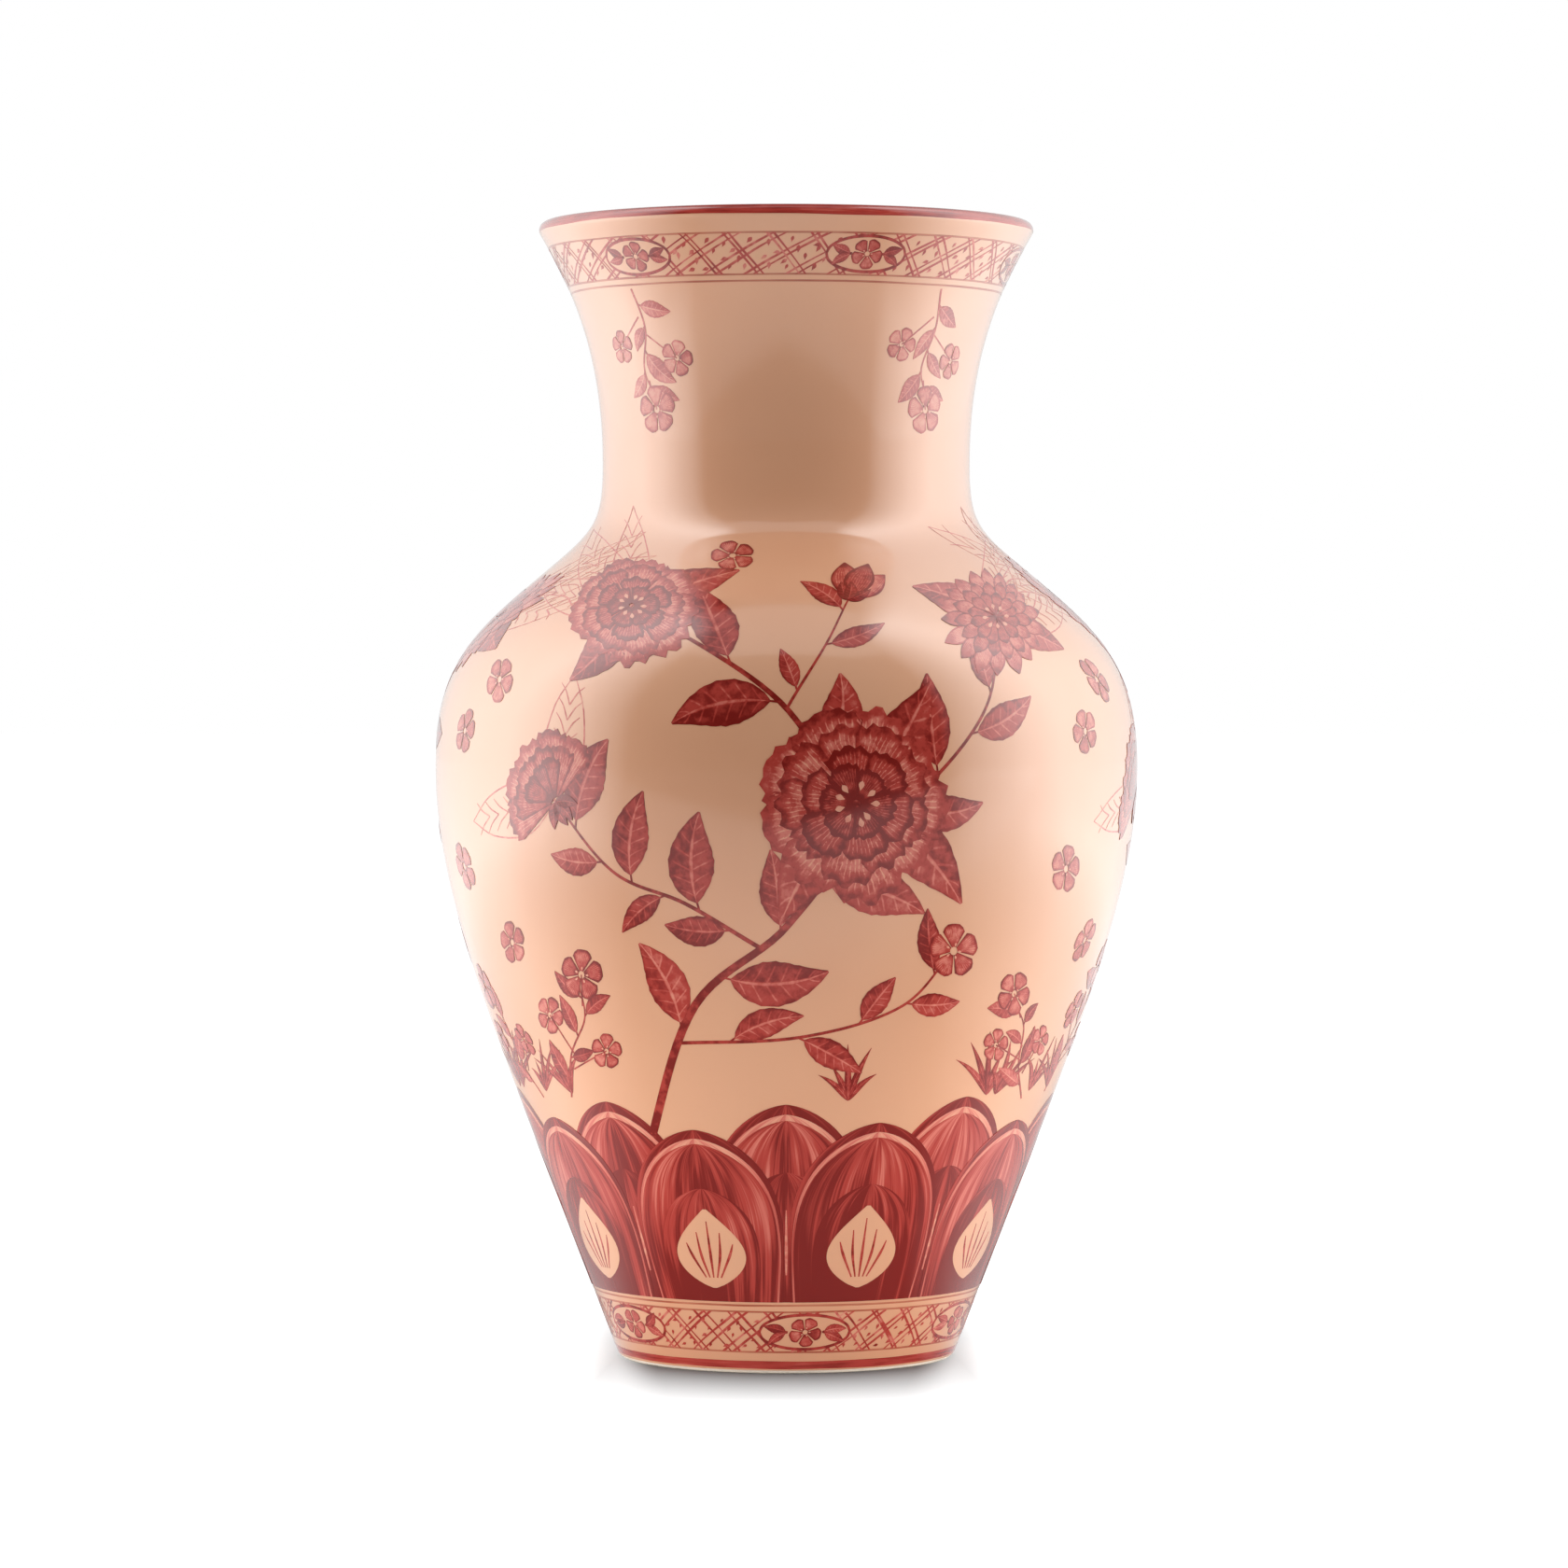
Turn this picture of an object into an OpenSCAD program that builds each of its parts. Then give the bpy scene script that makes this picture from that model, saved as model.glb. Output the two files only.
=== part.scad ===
// Baluster vase of glazed porcelain with a flared mouth, in millimetres.
// Z is up and the origin is the centre of the circle that the vase stands on.
// The vase is built as a potter builds it: a foot ring and three sections of
// porcelain, luted end to end with slip, then coats of glaze inside, outside and
// underneath, then fired bands of enamel on the glaze.

/* [Foot] */
// Diameter of the tapering wall where it would meet the standing plane
foot_d = 90; // [80:0.5:100]
// Lean of the wall at the foot, from the vertical, in degrees
foot_taper = 20.8; // [15:0.1:25]
// Height of the foot ring
foot_h = 6; // [4.5:0.1:9]
// Width of the foot ring's standing face and rounding
foot_w = 6; // [4:0.1:10]
// Radius of the rounded standing edge
foot_round = 1; // [0.6:0.1:1.6]
// Bare porcelain between the rounded edge and the glaze
bare_edge = 0.3; // [0.1:0.05:1]

/* [Lower body] */
// Height of the widest point above the standing plane
belly_z = 158.5; // [130:0.5:185]
// Diameter at the widest point
belly_d = 189; // [170:0.5:210]
// How far the straight taper carries up the lower body, as a share of its chord
taper_ease = 0.5; // [0.3:0.01:0.6]
// How far the belly stays upright below its widest point, as a share of that chord
belly_ease = 0.233; // [0.15:0.001:0.35]

/* [Shoulder] */
// Height from the widest point to the narrowest point of the neck
shoulder_h = 81.5; // [65:0.5:100]
// How far the belly stays upright above its widest point, as a share of the shoulder height
crown_ease = 0.333; // [0.2:0.001:0.4]
// How far the neck stays upright below its narrowest point, as a share of the shoulder height
root_ease = 0.193; // [0.1:0.001:0.3]
// Where the shoulder turns from convex to concave, as a share of its straight slope
turn_at = 0.667; // [0.5:0.001:0.8]
// Where the belly's curve lets go of the slope, as a share of it
crown_pull = 0.228; // [0.1:0.001:0.4]
// Where the neck's curve takes hold of the slope, as a share of it
root_pull = 0.945; // [0.85:0.001:1]

/* [Mouth] */
// Diameter at the narrowest point of the neck
neck_d = 99; // [85:0.5:115]
// Height from the narrowest point of the neck to the top of the lip
mouth_h = 65; // [50:0.5:85]
// Diameter over the lip
rim_d = 133.2; // [120:0.2:150]
// Lean of the flared mouth at the lip, from the vertical, in degrees
flare = 30; // [20:0.5:40]
// How far the neck stays upright above its narrowest point, as a share of the mouth's chord
waist_ease = 0.51; // [0.3:0.01:0.6]
// How far the flare runs straight below the lip, as a share of the mouth's chord
flare_ease = 0.19; // [0.1:0.01:0.35]

/* [Wall] */
// Thickness of the finished wall, glaze included
wall = 4.4; // [3.4:0.1:6]
// Thickness of a coat of glaze
glaze = 0.4; // [0.3:0.05:0.6]
// Thickness of the slip in a luted joint
slip = 0.6; // [0.4:0.1:1.2]
// Thickness of the porcelain floor
floor_t = 6; // [4:0.1:9]
// Height of the curve between the floor and the inner wall
floor_round = 14; // [8:0.5:22]

/* [Enamel bands] */
// Thickness of the fired enamel
enamel = 0.12; // [0.1:0.01:0.2]
// Clearance between the enamel and the glaze under it
enamel_gap = 0.05; // [0.03:0.01:0.1]
// How far the rim band reaches down from the top of the lip
rim_band_h = 2.6; // [1.5:0.1:3.2]
// How far round the lip the rim band goes past the top, in degrees
rim_band_over = 25; // [5:1:60]
// Width of a painted line
line_w = 0.5; // [0.3:0.05:1]
// Distance between the two lines of a double line, centre to centre
line_step = 1.7; // [1.2:0.1:3]
// From the top of the lip down to the middle of the mouth border's upper line
mouth_border_drop = 7.2; // [5:0.1:12]
// Height of the mouth border between its upper line and the double line
mouth_border_h = 10.5; // [6:0.1:16]
// From the standing plane up to the middle of the foot border's lower line
foot_border_z = 6; // [4.5:0.1:9]
// Height of the foot border between its lower line and the double line
foot_border_h = 10.9; // [6:0.1:16]
// Width of the band along the foot
foot_band_w = 2.2; // [1:0.1:3]
// Glaze that shows below the band along the foot
foot_band_gap = 0.1; // [0.05:0.05:0.5]

/* [Hidden] */
$fn = 128;

// Colours of the photographed materials
biscuit_colour = [0.93, 0.90, 0.85];
slip_colour = [0.86, 0.82, 0.76];
ground_colour = [0.95, 0.79, 0.65];
lining_colour = [0.96, 0.94, 0.91];
enamel_colour = [0.56, 0.13, 0.19];

// Points along each stretch of the profile, and around the small curves
lower_steps = 36;
upper_steps = 24;
arc_steps = 10;
band_steps = 3;
solve_rounds = 40;

// Levels of the luted joints and of the coats
base_z = foot_h + slip;
floor_z = base_z + floor_t;
neck_z = belly_z + shoulder_h;
height = neck_z + mouth_h;
glaze_z = foot_round * (1 - sin(foot_taper)) + bare_edge;
inner_skin = wall - glaze;
foot_bore_r = taper_r(0, glaze) - foot_w;

// The lip is a full round on the wall
lip_r = wall / 2;
lip_centre = [rim_d / 2 - lip_r, height - lip_r];
lip_start = -flare;
lip_top = 90;
lip_end = 180 - flare;

// The outside profile, as [radius, height]: four cubic curves that share their
// tangents, with a short upright land at the two joints in the wall
foot_point = [taper_r(base_z, 0), base_z];
belly_low = [belly_d / 2, belly_z - slip / 2];
belly_high = [belly_d / 2, belly_z + slip / 2];
neck_low = [neck_d / 2, neck_z - slip / 2];
neck_high = [neck_d / 2, neck_z + slip / 2];
lip_point = lip_centre + lip_r * [cos(lip_start), sin(lip_start)];

lower_chord = norm(belly_low - foot_point);
mouth_chord = norm(lip_point - neck_high);
slope_foot = belly_high + [0, crown_ease * shoulder_h];
slope_head = neck_low - [0, root_ease * shoulder_h];
shoulder_turn = along(slope_foot, slope_head, turn_at);

lower_curve = [
    foot_point,
    foot_point + taper_ease * lower_chord * [sin(foot_taper), cos(foot_taper)],
    belly_low - [0, belly_ease * lower_chord],
    belly_low
];
crown_curve = [
    belly_high,
    slope_foot,
    along(slope_foot, slope_head, crown_pull),
    shoulder_turn
];
root_curve = [
    shoulder_turn,
    along(slope_foot, slope_head, root_pull),
    slope_head,
    neck_low
];
mouth_curve = [
    neck_high,
    neck_high + [0, waist_ease * mouth_chord],
    lip_point - flare_ease * mouth_chord * [sin(flare), cos(flare)],
    lip_point
];

function along(a, b, share) = a + share * (b - a);
function reversed(list) = [for (i = [len(list) - 1 : -1 : 0]) list[i]];

// Radius of the straight foot wall at a height, and at a depth into the wall
function taper_r(z, depth) =
    foot_d / 2 + z * tan(foot_taper) - depth / cos(foot_taper);

// A cubic curve, its run, and the point at a depth square to it
function cubic(c, t) =
    pow(1 - t, 3) * c[0] + 3 * t * pow(1 - t, 2) * c[1]
    + 3 * t * t * (1 - t) * c[2] + t * t * t * c[3];
function run(c, t) =
    pow(1 - t, 2) * (c[1] - c[0]) + 2 * t * (1 - t) * (c[2] - c[1])
    + t * t * (c[3] - c[2]);
function inward(v) = [-v[1], v[0]] / norm(v);
function under(c, t, depth) = cubic(c, t) + depth * inward(run(c, t));

// Where a curve at a depth reaches a height, by halving
function reach(c, depth, z, low = 0, high = 1, rounds = solve_rounds) =
    let (middle = (low + high) / 2)
    rounds == 0 ? middle
    : under(c, middle, depth)[1] < z ? reach(c, depth, z, middle, high, rounds - 1)
    : reach(c, depth, z, low, middle, rounds - 1);

function stretch(c, depth, steps, from = 0) =
    [for (i = [0 : steps]) under(c, from + (1 - from) * i / steps, depth)];
function lower_line(depth) = stretch(lower_curve, depth, lower_steps);
function shoulder_line(depth) = concat(
    stretch(crown_curve, depth, upper_steps),
    [for (i = [1 : upper_steps]) under(root_curve, i / upper_steps, depth)]
);
function mouth_line(depth) = stretch(mouth_curve, depth, upper_steps);
function lip_arc(depth, from, to) = [
    for (i = [0 : arc_steps])
        let (a = from + (to - from) * i / arc_steps)
        lip_centre + abs(lip_r - depth) * [cos(a), sin(a)]
];

// The inside of the lower body, from the axis over the floor and up its wall
function cavity_line(depth) =
    let (
        level = floor_z + depth - inner_skin,
        from = reach(lower_curve, depth, level + floor_round),
        top = under(lower_curve, from, depth),
        lean = run(lower_curve, from),
        corner = [top[0] - floor_round * lean[0] / lean[1], level],
        start = corner - [floor_round, 0]
    )
    concat(
        [[0, level]],
        [for (i = [0 : arc_steps - 1])
            let (t = i / arc_steps)
            along(along(start, corner, t), along(corner, top, t), t)],
        stretch(lower_curve, depth, lower_steps, from)
    );

// A point of the outside at a height, on whichever stretch is there
function on_curve(c, z, depth) = under(c, reach(c, 0, z), depth);
function skin(z, depth) =
    z < base_z ? [taper_r(z, depth), z]
    : z < belly_low[1] ? on_curve(lower_curve, z, depth)
    : z < belly_high[1] ? belly_low - [depth, belly_low[1] - z]
    : z < shoulder_turn[1] ? on_curve(crown_curve, z, depth)
    : z < neck_low[1] ? on_curve(root_curve, z, depth)
    : z < neck_high[1] ? neck_low - [depth, neck_low[1] - z]
    : on_curve(mouth_curve, z, depth);

module turned(outline) {
    rotate_extrude() polygon(outline);
}

// A band of enamel on the outside between two heights
module band(low, high) {
    heights = [for (i = [0 : band_steps]) low + (high - low) * i / band_steps];
    turned(concat(
        [for (z = heights) skin(z, -enamel_gap)],
        [for (z = reversed(heights)) skin(z, -enamel_gap - enamel)]
    ));
}

module painted_line(middle) {
    band(middle - line_w / 2, middle + line_w / 2);
}

// The porcelain

module foot_ring() {
    edge = [
        taper_r(foot_round, glaze + foot_round),
        foot_round
    ];
    bore_edge = [foot_bore_r + foot_round, foot_round];
    color(biscuit_colour) turned(concat(
        [for (i = [0 : arc_steps])
            let (a = -90 + (90 - foot_taper) * i / arc_steps)
            edge + foot_round * [cos(a), sin(a)]],
        [[taper_r(foot_h, glaze), foot_h], [foot_bore_r, foot_h]],
        [for (i = [0 : arc_steps])
            let (a = 180 + 90 * i / arc_steps)
            bore_edge + foot_round * [cos(a), sin(a)]]
    ));
}

module lower_body() {
    color(biscuit_colour) turned(concat(
        [[0, base_z], [taper_r(base_z, glaze), base_z]],
        lower_line(glaze),
        reversed(cavity_line(inner_skin))
    ));
}

module shoulder() {
    color(biscuit_colour) turned(concat(
        shoulder_line(glaze),
        reversed(shoulder_line(inner_skin))
    ));
}

module neck() {
    color(biscuit_colour) turned(concat(
        mouth_line(glaze),
        lip_arc(glaze, lip_start, lip_end),
        reversed(mouth_line(inner_skin))
    ));
}

// The luted joints

module foot_slip_joint() {
    color(slip_colour) turned([
        [foot_bore_r, foot_h],
        [taper_r(foot_h, glaze), foot_h],
        [taper_r(base_z, glaze), base_z],
        [foot_bore_r, base_z]
    ]);
}

module wall_slip_joint(low, high) {
    color(slip_colour) turned([
        low - [inner_skin, 0],
        low - [glaze, 0],
        high - [glaze, 0],
        high - [inner_skin, 0]
    ]);
}

module belly_slip_joint() {
    wall_slip_joint(belly_low, belly_high);
}

module neck_slip_joint() {
    wall_slip_joint(neck_low, neck_high);
}

// The coats of glaze

function outside_line(depth) = concat(
    [[taper_r(glaze_z, depth), glaze_z]],
    lower_line(depth),
    shoulder_line(depth),
    mouth_line(depth),
    lip_arc(depth, lip_start, lip_top)
);

function inside_line(depth) = concat(
    cavity_line(depth),
    shoulder_line(depth),
    mouth_line(depth),
    lip_arc(depth, lip_end, lip_top)
);

module outer_glaze() {
    color(ground_colour) turned(concat(
        outside_line(0),
        reversed(outside_line(glaze))
    ));
}

module inner_glaze() {
    color(lining_colour) turned(concat(
        inside_line(inner_skin),
        reversed(inside_line(wall))
    ));
}

module base_glaze() {
    color(lining_colour) turned([
        [0, base_z - glaze],
        [foot_bore_r - glaze, base_z - glaze],
        [foot_bore_r - glaze, glaze_z],
        [foot_bore_r, glaze_z],
        [foot_bore_r, base_z],
        [0, base_z]
    ]);
}

// The enamel bands

module rim_band() {
    from = asin((lip_r - rim_band_h) / lip_r);
    to = lip_top + rim_band_over;
    color(enamel_colour) turned(concat(
        lip_arc(-enamel_gap, from, to),
        lip_arc(-enamel_gap - enamel, to, from)
    ));
}

module mouth_border_lines() {
    upper = height - mouth_border_drop;
    lower = upper - mouth_border_h;
    color(enamel_colour)
        for (z = [upper, lower, lower - line_step]) painted_line(z);
}

module foot_border_lines() {
    upper = foot_border_z + foot_border_h;
    color(enamel_colour)
        for (z = [foot_border_z, upper, upper + line_step]) painted_line(z);
}

module foot_band() {
    low = glaze_z + foot_band_gap;
    color(enamel_colour) band(low, low + foot_band_w);
}

foot_ring();
lower_body();
shoulder();
neck();
foot_slip_joint();
belly_slip_joint();
neck_slip_joint();
outer_glaze();
inner_glaze();
base_glaze();
rim_band();
mouth_border_lines();
foot_border_lines();
foot_band();
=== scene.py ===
"""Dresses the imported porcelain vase: a smooth glazed body, fired enamel painting and a small studio."""

import math

import bpy
import numpy as np
from bpy.props import FloatProperty, FloatVectorProperty, IntProperty, PointerProperty
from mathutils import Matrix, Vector


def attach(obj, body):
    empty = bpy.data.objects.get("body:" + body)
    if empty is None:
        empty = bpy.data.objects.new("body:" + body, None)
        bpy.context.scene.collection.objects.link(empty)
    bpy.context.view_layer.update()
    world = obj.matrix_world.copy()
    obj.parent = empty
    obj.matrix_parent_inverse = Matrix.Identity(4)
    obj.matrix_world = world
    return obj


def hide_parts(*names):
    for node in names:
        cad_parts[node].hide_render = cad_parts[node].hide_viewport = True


bl_info = {
    "name": "Painted porcelain vase",
    "version": (1, 0, 0),
    "blender": (4, 5, 0),
    "location": "3D View > Sidebar > Vase",
    "description": "Builds a glazed baluster vase with enamel borders, blossoms and leaves",
    "category": "Add Mesh",
}

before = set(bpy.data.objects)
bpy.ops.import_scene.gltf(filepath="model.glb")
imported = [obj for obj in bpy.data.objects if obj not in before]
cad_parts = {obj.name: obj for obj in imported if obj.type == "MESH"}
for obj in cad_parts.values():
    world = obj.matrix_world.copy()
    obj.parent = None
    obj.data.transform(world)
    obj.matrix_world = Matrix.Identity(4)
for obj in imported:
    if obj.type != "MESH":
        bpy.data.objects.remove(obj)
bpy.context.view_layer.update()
MM = 0.001


# Sizes and colours that a user would change


def length(name, value_mm, description):
    """A length property whose default is given in millimetres."""
    return FloatProperty(name=name, description=description, default=value_mm * MM, unit="LENGTH",
                         subtype="DISTANCE", precision=5)


def share(name, value, description):
    """A plain number property."""
    return FloatProperty(name=name, description=description, default=value, precision=4)


def angle(name, degrees, description):
    """An angle property whose default is given in degrees."""
    return FloatProperty(name=name, description=description, default=math.radians(degrees),
                         unit="ROTATION", subtype="ANGLE")


def colour(name, red, green, blue, description):
    """A colour property whose default is given as screen values from 0 to 255."""
    return FloatVectorProperty(name=name, description=description, size=3, subtype="COLOR", min=0, max=1,
                               default=[screen_to_light(c) for c in (red, green, blue)])


def screen_to_light(value):
    """A screen value from 0 to 255 as a linear amount of light."""
    c = value / 255
    return c / 12.92 if c <= 0.04045 else ((c + 0.055) / 1.055) ** 2.4


class VaseShape(bpy.types.PropertyGroup):
    """Sizes of the turned body."""

    foot_d: length("Foot diameter", 90, "Diameter of the tapering wall at the standing plane")
    foot_taper: angle("Foot taper", 20.8, "Lean of the wall at the foot, from the vertical")
    foot_h: length("Foot ring height", 6, "Height of the bare ring that the vase stands on")
    foot_w: length("Foot ring width", 6, "Width of the standing ring")
    foot_round: length("Foot edge", 1, "Radius of the rounded standing edge")
    bare_edge: length("Bare edge", 0.3, "Bare porcelain between the rounded edge and the glaze")
    belly_z: length("Belly height", 158.5, "Height of the widest point")
    belly_d: length("Belly diameter", 189, "Diameter at the widest point")
    taper_ease: share("Taper ease", 0.5, "How far the taper carries up the lower body")
    belly_ease: share("Belly ease", 0.233, "How far the belly stays upright below its widest point")
    shoulder_h: length("Shoulder height", 81.5, "From the widest point to the narrowest point of the neck")
    crown_ease: share("Crown ease", 0.333, "How far the belly stays upright above its widest point")
    root_ease: share("Root ease", 0.193, "How far the neck stays upright below its narrowest point")
    turn_at: share("Turn", 0.667, "Where the shoulder turns from convex to concave")
    crown_pull: share("Crown pull", 0.228, "Where the belly's curve lets go of the slope")
    root_pull: share("Root pull", 0.945, "Where the neck's curve takes hold of the slope")
    neck_d: length("Neck diameter", 99, "Diameter at the narrowest point of the neck")
    mouth_h: length("Mouth height", 65, "From the narrowest point of the neck to the top of the lip")
    rim_d: length("Rim diameter", 133.2, "Diameter over the lip")
    flare: angle("Flare", 30, "Lean of the mouth at the lip, from the vertical")
    waist_ease: share("Waist ease", 0.51, "How far the neck stays upright above its narrowest point")
    flare_ease: share("Flare ease", 0.19, "How far the flare runs straight below the lip")
    wall: length("Wall", 4.4, "Thickness of the finished wall")
    glaze: length("Glaze", 0.4, "Thickness of a coat of glaze")
    slip: length("Slip", 0.6, "Thickness of the slip in a luted joint")
    floor_t: length("Floor", 6, "Thickness of the porcelain floor")
    floor_round: length("Floor curve", 14, "Height of the curve between the floor and the inner wall")
    segments: IntProperty(name="Segments", description="Steps round the turned body", default=256, min=32)


class VaseGlaze(bpy.types.PropertyGroup):
    """Colours of the glazes and the porcelain."""

    ground: colour("Ground", 218, 163, 128, "Coloured glaze on the outside")
    ground_deep: colour("Ground, thick", 210, 150, 114, "The same glaze where it lies thicker")
    lining: colour("Lining", 246, 240, 230, "White glaze on the inside")
    biscuit: colour("Biscuit", 236, 226, 210, "Bare fired porcelain")
    body_gloss: share("Body roughness", 0.32, "Roughness of the colour under the clear surface")
    gloss: share("Roughness", 0.065, "Roughness of the clear fired surface")


class VaseEnamel(bpy.types.PropertyGroup):
    """The painted decoration."""

    dark: colour("Dark", 122, 30, 25, "Paint at its thickest")
    middle: colour("Middle", 171, 60, 51, "Paint in an even wash")
    light: colour("Light", 203, 108, 94, "Paint in a thin wash")
    pale: colour("Pale", 218, 151, 126, "The ground showing through the thinnest paint")
    line: colour("Line colour", 164, 84, 62, "Thin brown paint of the lines that edge the borders")
    line_pale: colour("Line colour, thin", 192, 120, 92, "The same paint where it runs thin")
    lift: length("Lift", 0.02, "From the glaze to the underside of the paint")
    layer: length("Layer", 0.009, "How much higher each layer of paint stands than the one under it")
    coat: length("Coat", 0.02, "Thickness of the first layer of paint")
    wander: length("Wander", 0.1, "How far a painted ring strays from its place")
    rim_h: length("Rim band height", 2.6, "Height of the painted rim below the top of the lip")
    rim_over: angle("Rim band reach", 25, "How far the painted rim reaches over the crown of the lip")
    foot_band_w: length("Foot band", 2.2, "Width of the painted ring at the foot")
    line_w: length("Line", 0.55, "Width of the lines that edge the borders")
    line_step: length("Line step", 1.7, "From a border to the second line beside it")
    mouth_drop: length("Mouth border drop", 7.2,
                       "From the top of the lip to the upper line of the mouth border")
    mouth_h: length("Mouth border height", 10.5, "Height of the mouth border")
    foot_z: length("Foot border place", 6, "Height of the lower line of the foot border")
    foot_h: length("Foot border height", 10.9, "Height of the foot border")
    trellis_w: length("Trellis line", 0.55, "Width of the lines of the trellis")
    trellis_gap: length("Trellis gap", 1.5, "From one line of a trellis pair to the other")
    lappet_top: length("Petal band top", 70, "Height that the upright petals reach")
    lappets: IntProperty(name="Petals", description="Upright petals in the front row", default=9, min=3)


class VaseStudio(bpy.types.PropertyGroup):
    """Camera and light."""

    distance: length("Camera distance", 1549, "From the axis of the vase to the camera")
    eye: length("Camera height", 184.4, "Height of the camera above the standing plane")
    lens: share("Lens", 131.8, "Focal length in millimetres on a 36 mm sensor")
    frame_up: share("Frame shift", -0.0726, "Upward shift of the frame")
    frame_side: share("Side shift", -0.0014, "Sideways shift of the frame")
    neck_power: share("Neck light", 0.14, "Power of each small lamp beside the neck in watts")
    low_power: share("Low light", 0.12, "Power of each low lamp that lifts the lower body in watts")
    flare_power: share("Flare light", 0.008,
                       "Power of the narrow lamp that lifts the flare of the mouth in watts")
    top_power: share("Top light", 4.6, "Power of the soft overhead lamp in watts")
    side_glow: share("Side glow", 3.4, "How bright the surroundings beside the vase shine in the glaze")
    top_glow: share("Top glow", 0.67, "How bright the surroundings above the vase shine in the glaze")
    ambient: share("Ambient", 2.8, "Strength of the soft light from the surroundings")


# The outside line of the vase


CURVE_STEPS = 400
LIP_STEPS = 100
SAME_POINT = 1e-7


def cubic(a, b, c, d):
    """Points of a cubic curve."""
    t = np.linspace(0, 1, CURVE_STEPS)[:, None]
    return (1 - t) ** 3 * a + 3 * t * (1 - t) ** 2 * b + 3 * t * t * (1 - t) * c + t ** 3 * d


def arc(centre, radius, start, end, steps):
    """Points of an arc from one angle to another."""
    way = np.linspace(start, end, steps)
    return centre + np.stack([np.cos(way), np.sin(way)], 1) * radius


def gaps(line):
    """Distances from each point of a line to the next."""
    return np.linalg.norm(np.diff(line, axis=0), axis=1)


def unit(runs):
    """Directions at their length of one."""
    return runs / np.linalg.norm(runs, axis=1)[:, None]


class Profile:
    """The outside line as radius and height, measured along its own length from the glaze's lower edge."""

    def __init__(self, shape):
        v = shape
        self.shape = v
        self.base_z = v.foot_h + v.slip
        self.glaze_z = v.foot_round * (1 - math.sin(v.foot_taper)) + v.bare_edge
        neck_z = v.belly_z + v.shoulder_h
        self.height = neck_z + v.mouth_h
        self.lip_r = v.wall / 2
        self.lip_centre = np.array([v.rim_d / 2 - self.lip_r, self.height - self.lip_r])
        round_lip = arc(self.lip_centre, self.lip_r, -v.flare, math.pi - v.flare, LIP_STEPS)
        start = np.array([self.taper_r(self.glaze_z, 0), self.glaze_z])
        foot = np.array([self.taper_r(self.base_z, 0), self.base_z])
        belly_low = np.array([v.belly_d / 2, v.belly_z - v.slip / 2])
        belly_high = belly_low + (0, v.slip)
        neck_low = np.array([v.neck_d / 2, neck_z - v.slip / 2])
        neck_high = neck_low + (0, v.slip)
        lip = round_lip[0]
        lower_chord = np.linalg.norm(belly_low - foot)
        mouth_chord = np.linalg.norm(lip - neck_high)
        slope_foot = belly_high + (0, v.crown_ease * v.shoulder_h)
        slope_head = neck_low - (0, v.root_ease * v.shoulder_h)
        slope = slope_head - slope_foot
        turn = slope_foot + v.turn_at * slope
        rise = np.array([math.sin(v.foot_taper), math.cos(v.foot_taper)])
        spread = np.array([math.sin(v.flare), math.cos(v.flare)])
        curves = [
            (foot, foot + v.taper_ease * lower_chord * rise, belly_low - (0, v.belly_ease * lower_chord),
             belly_low),
            (belly_high, slope_foot, slope_foot + v.crown_pull * slope, turn),
            (turn, slope_foot + v.root_pull * slope, slope_head, neck_low),
            (neck_high, neck_high + (0, v.waist_ease * mouth_chord),
             lip - v.flare_ease * mouth_chord * spread, lip),
        ]
        line = np.concatenate([[start]] + [cubic(*curve) for curve in curves] + [round_lip])
        line = line[np.concatenate([[True], gaps(line) > SAME_POINT])]
        self.s = np.concatenate([[0], np.cumsum(gaps(line))])
        self.line = line
        run = unit(np.gradient(line, self.s, axis=0))
        self.out = np.stack([run[:, 1], -run[:, 0]], 1)
        self.crown = int(np.argmax(line[:, 1]))
        self.crown_s = self.s[self.crown]
        self.lip_s = self.s[-1] - math.pi * self.lip_r

    def taper_r(self, z, depth):
        """Radius of the straight foot wall at a height and a depth."""
        v = self.shape
        return v.foot_d / 2 + z * math.tan(v.foot_taper) - depth / math.cos(v.foot_taper)

    def s_at(self, z):
        """Length along the line at a height below the lip's crown."""
        return np.interp(z, self.line[:self.crown, 1], self.s[:self.crown])

    def point(self, s, lift=0.0):
        """Radius and height at a length along the line, lifted off it by an amount."""
        return [np.interp(s, self.s, self.line[:, k]) + lift * np.interp(s, self.s, self.out[:, k])
                for k in (0, 1)]

    def radius(self, s):
        """Radius at a length along the line."""
        return self.point(s)[0]

    def stretch(self, low, high, step, lift=0.0):
        """Points between two lengths along the line, about a step apart."""
        count = max(2, int(round(abs(high - low) / step)) + 1)
        return np.stack(self.point(np.linspace(low, high, count), lift), 1)

    def wrap(self, turn, s, lift):
        """Points in space from turns about the axis, lengths along the line and lifts off it."""
        r, z = self.point(s, lift)
        return np.stack([r * np.sin(turn), -r * np.cos(turn), z], 1)


class Vase:
    """The settings on the scene, and what several pieces take from them."""

    def __init__(self, scene):
        self.shape = scene.vase_shape
        self.glaze = scene.vase_glaze
        self.paint = scene.vase_enamel
        self.studio = scene.vase_studio
        self.line = Profile(self.shape)
        self.mouth_top = self.line.height - self.paint.mouth_drop
        self.mouth_low = self.mouth_top - self.paint.mouth_h
        self.foot_low = self.paint.foot_z
        self.foot_top = self.foot_low + self.paint.foot_h


class Step:
    """What the operators share: each builds its pieces from the settings of the vase."""

    def execute(self, context):
        self.build(Vase(context.scene))
        return {"FINISHED"}


# Materials


PORCELAIN_IOR = 1.6
GLAZE_IOR = 1.7
ROOT_Z = 0.222
SWELL = {"depth": 0.0006, "amount": 0.12}
GRAIN = {"depth": 0.00006, "amount": 0.5}


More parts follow.
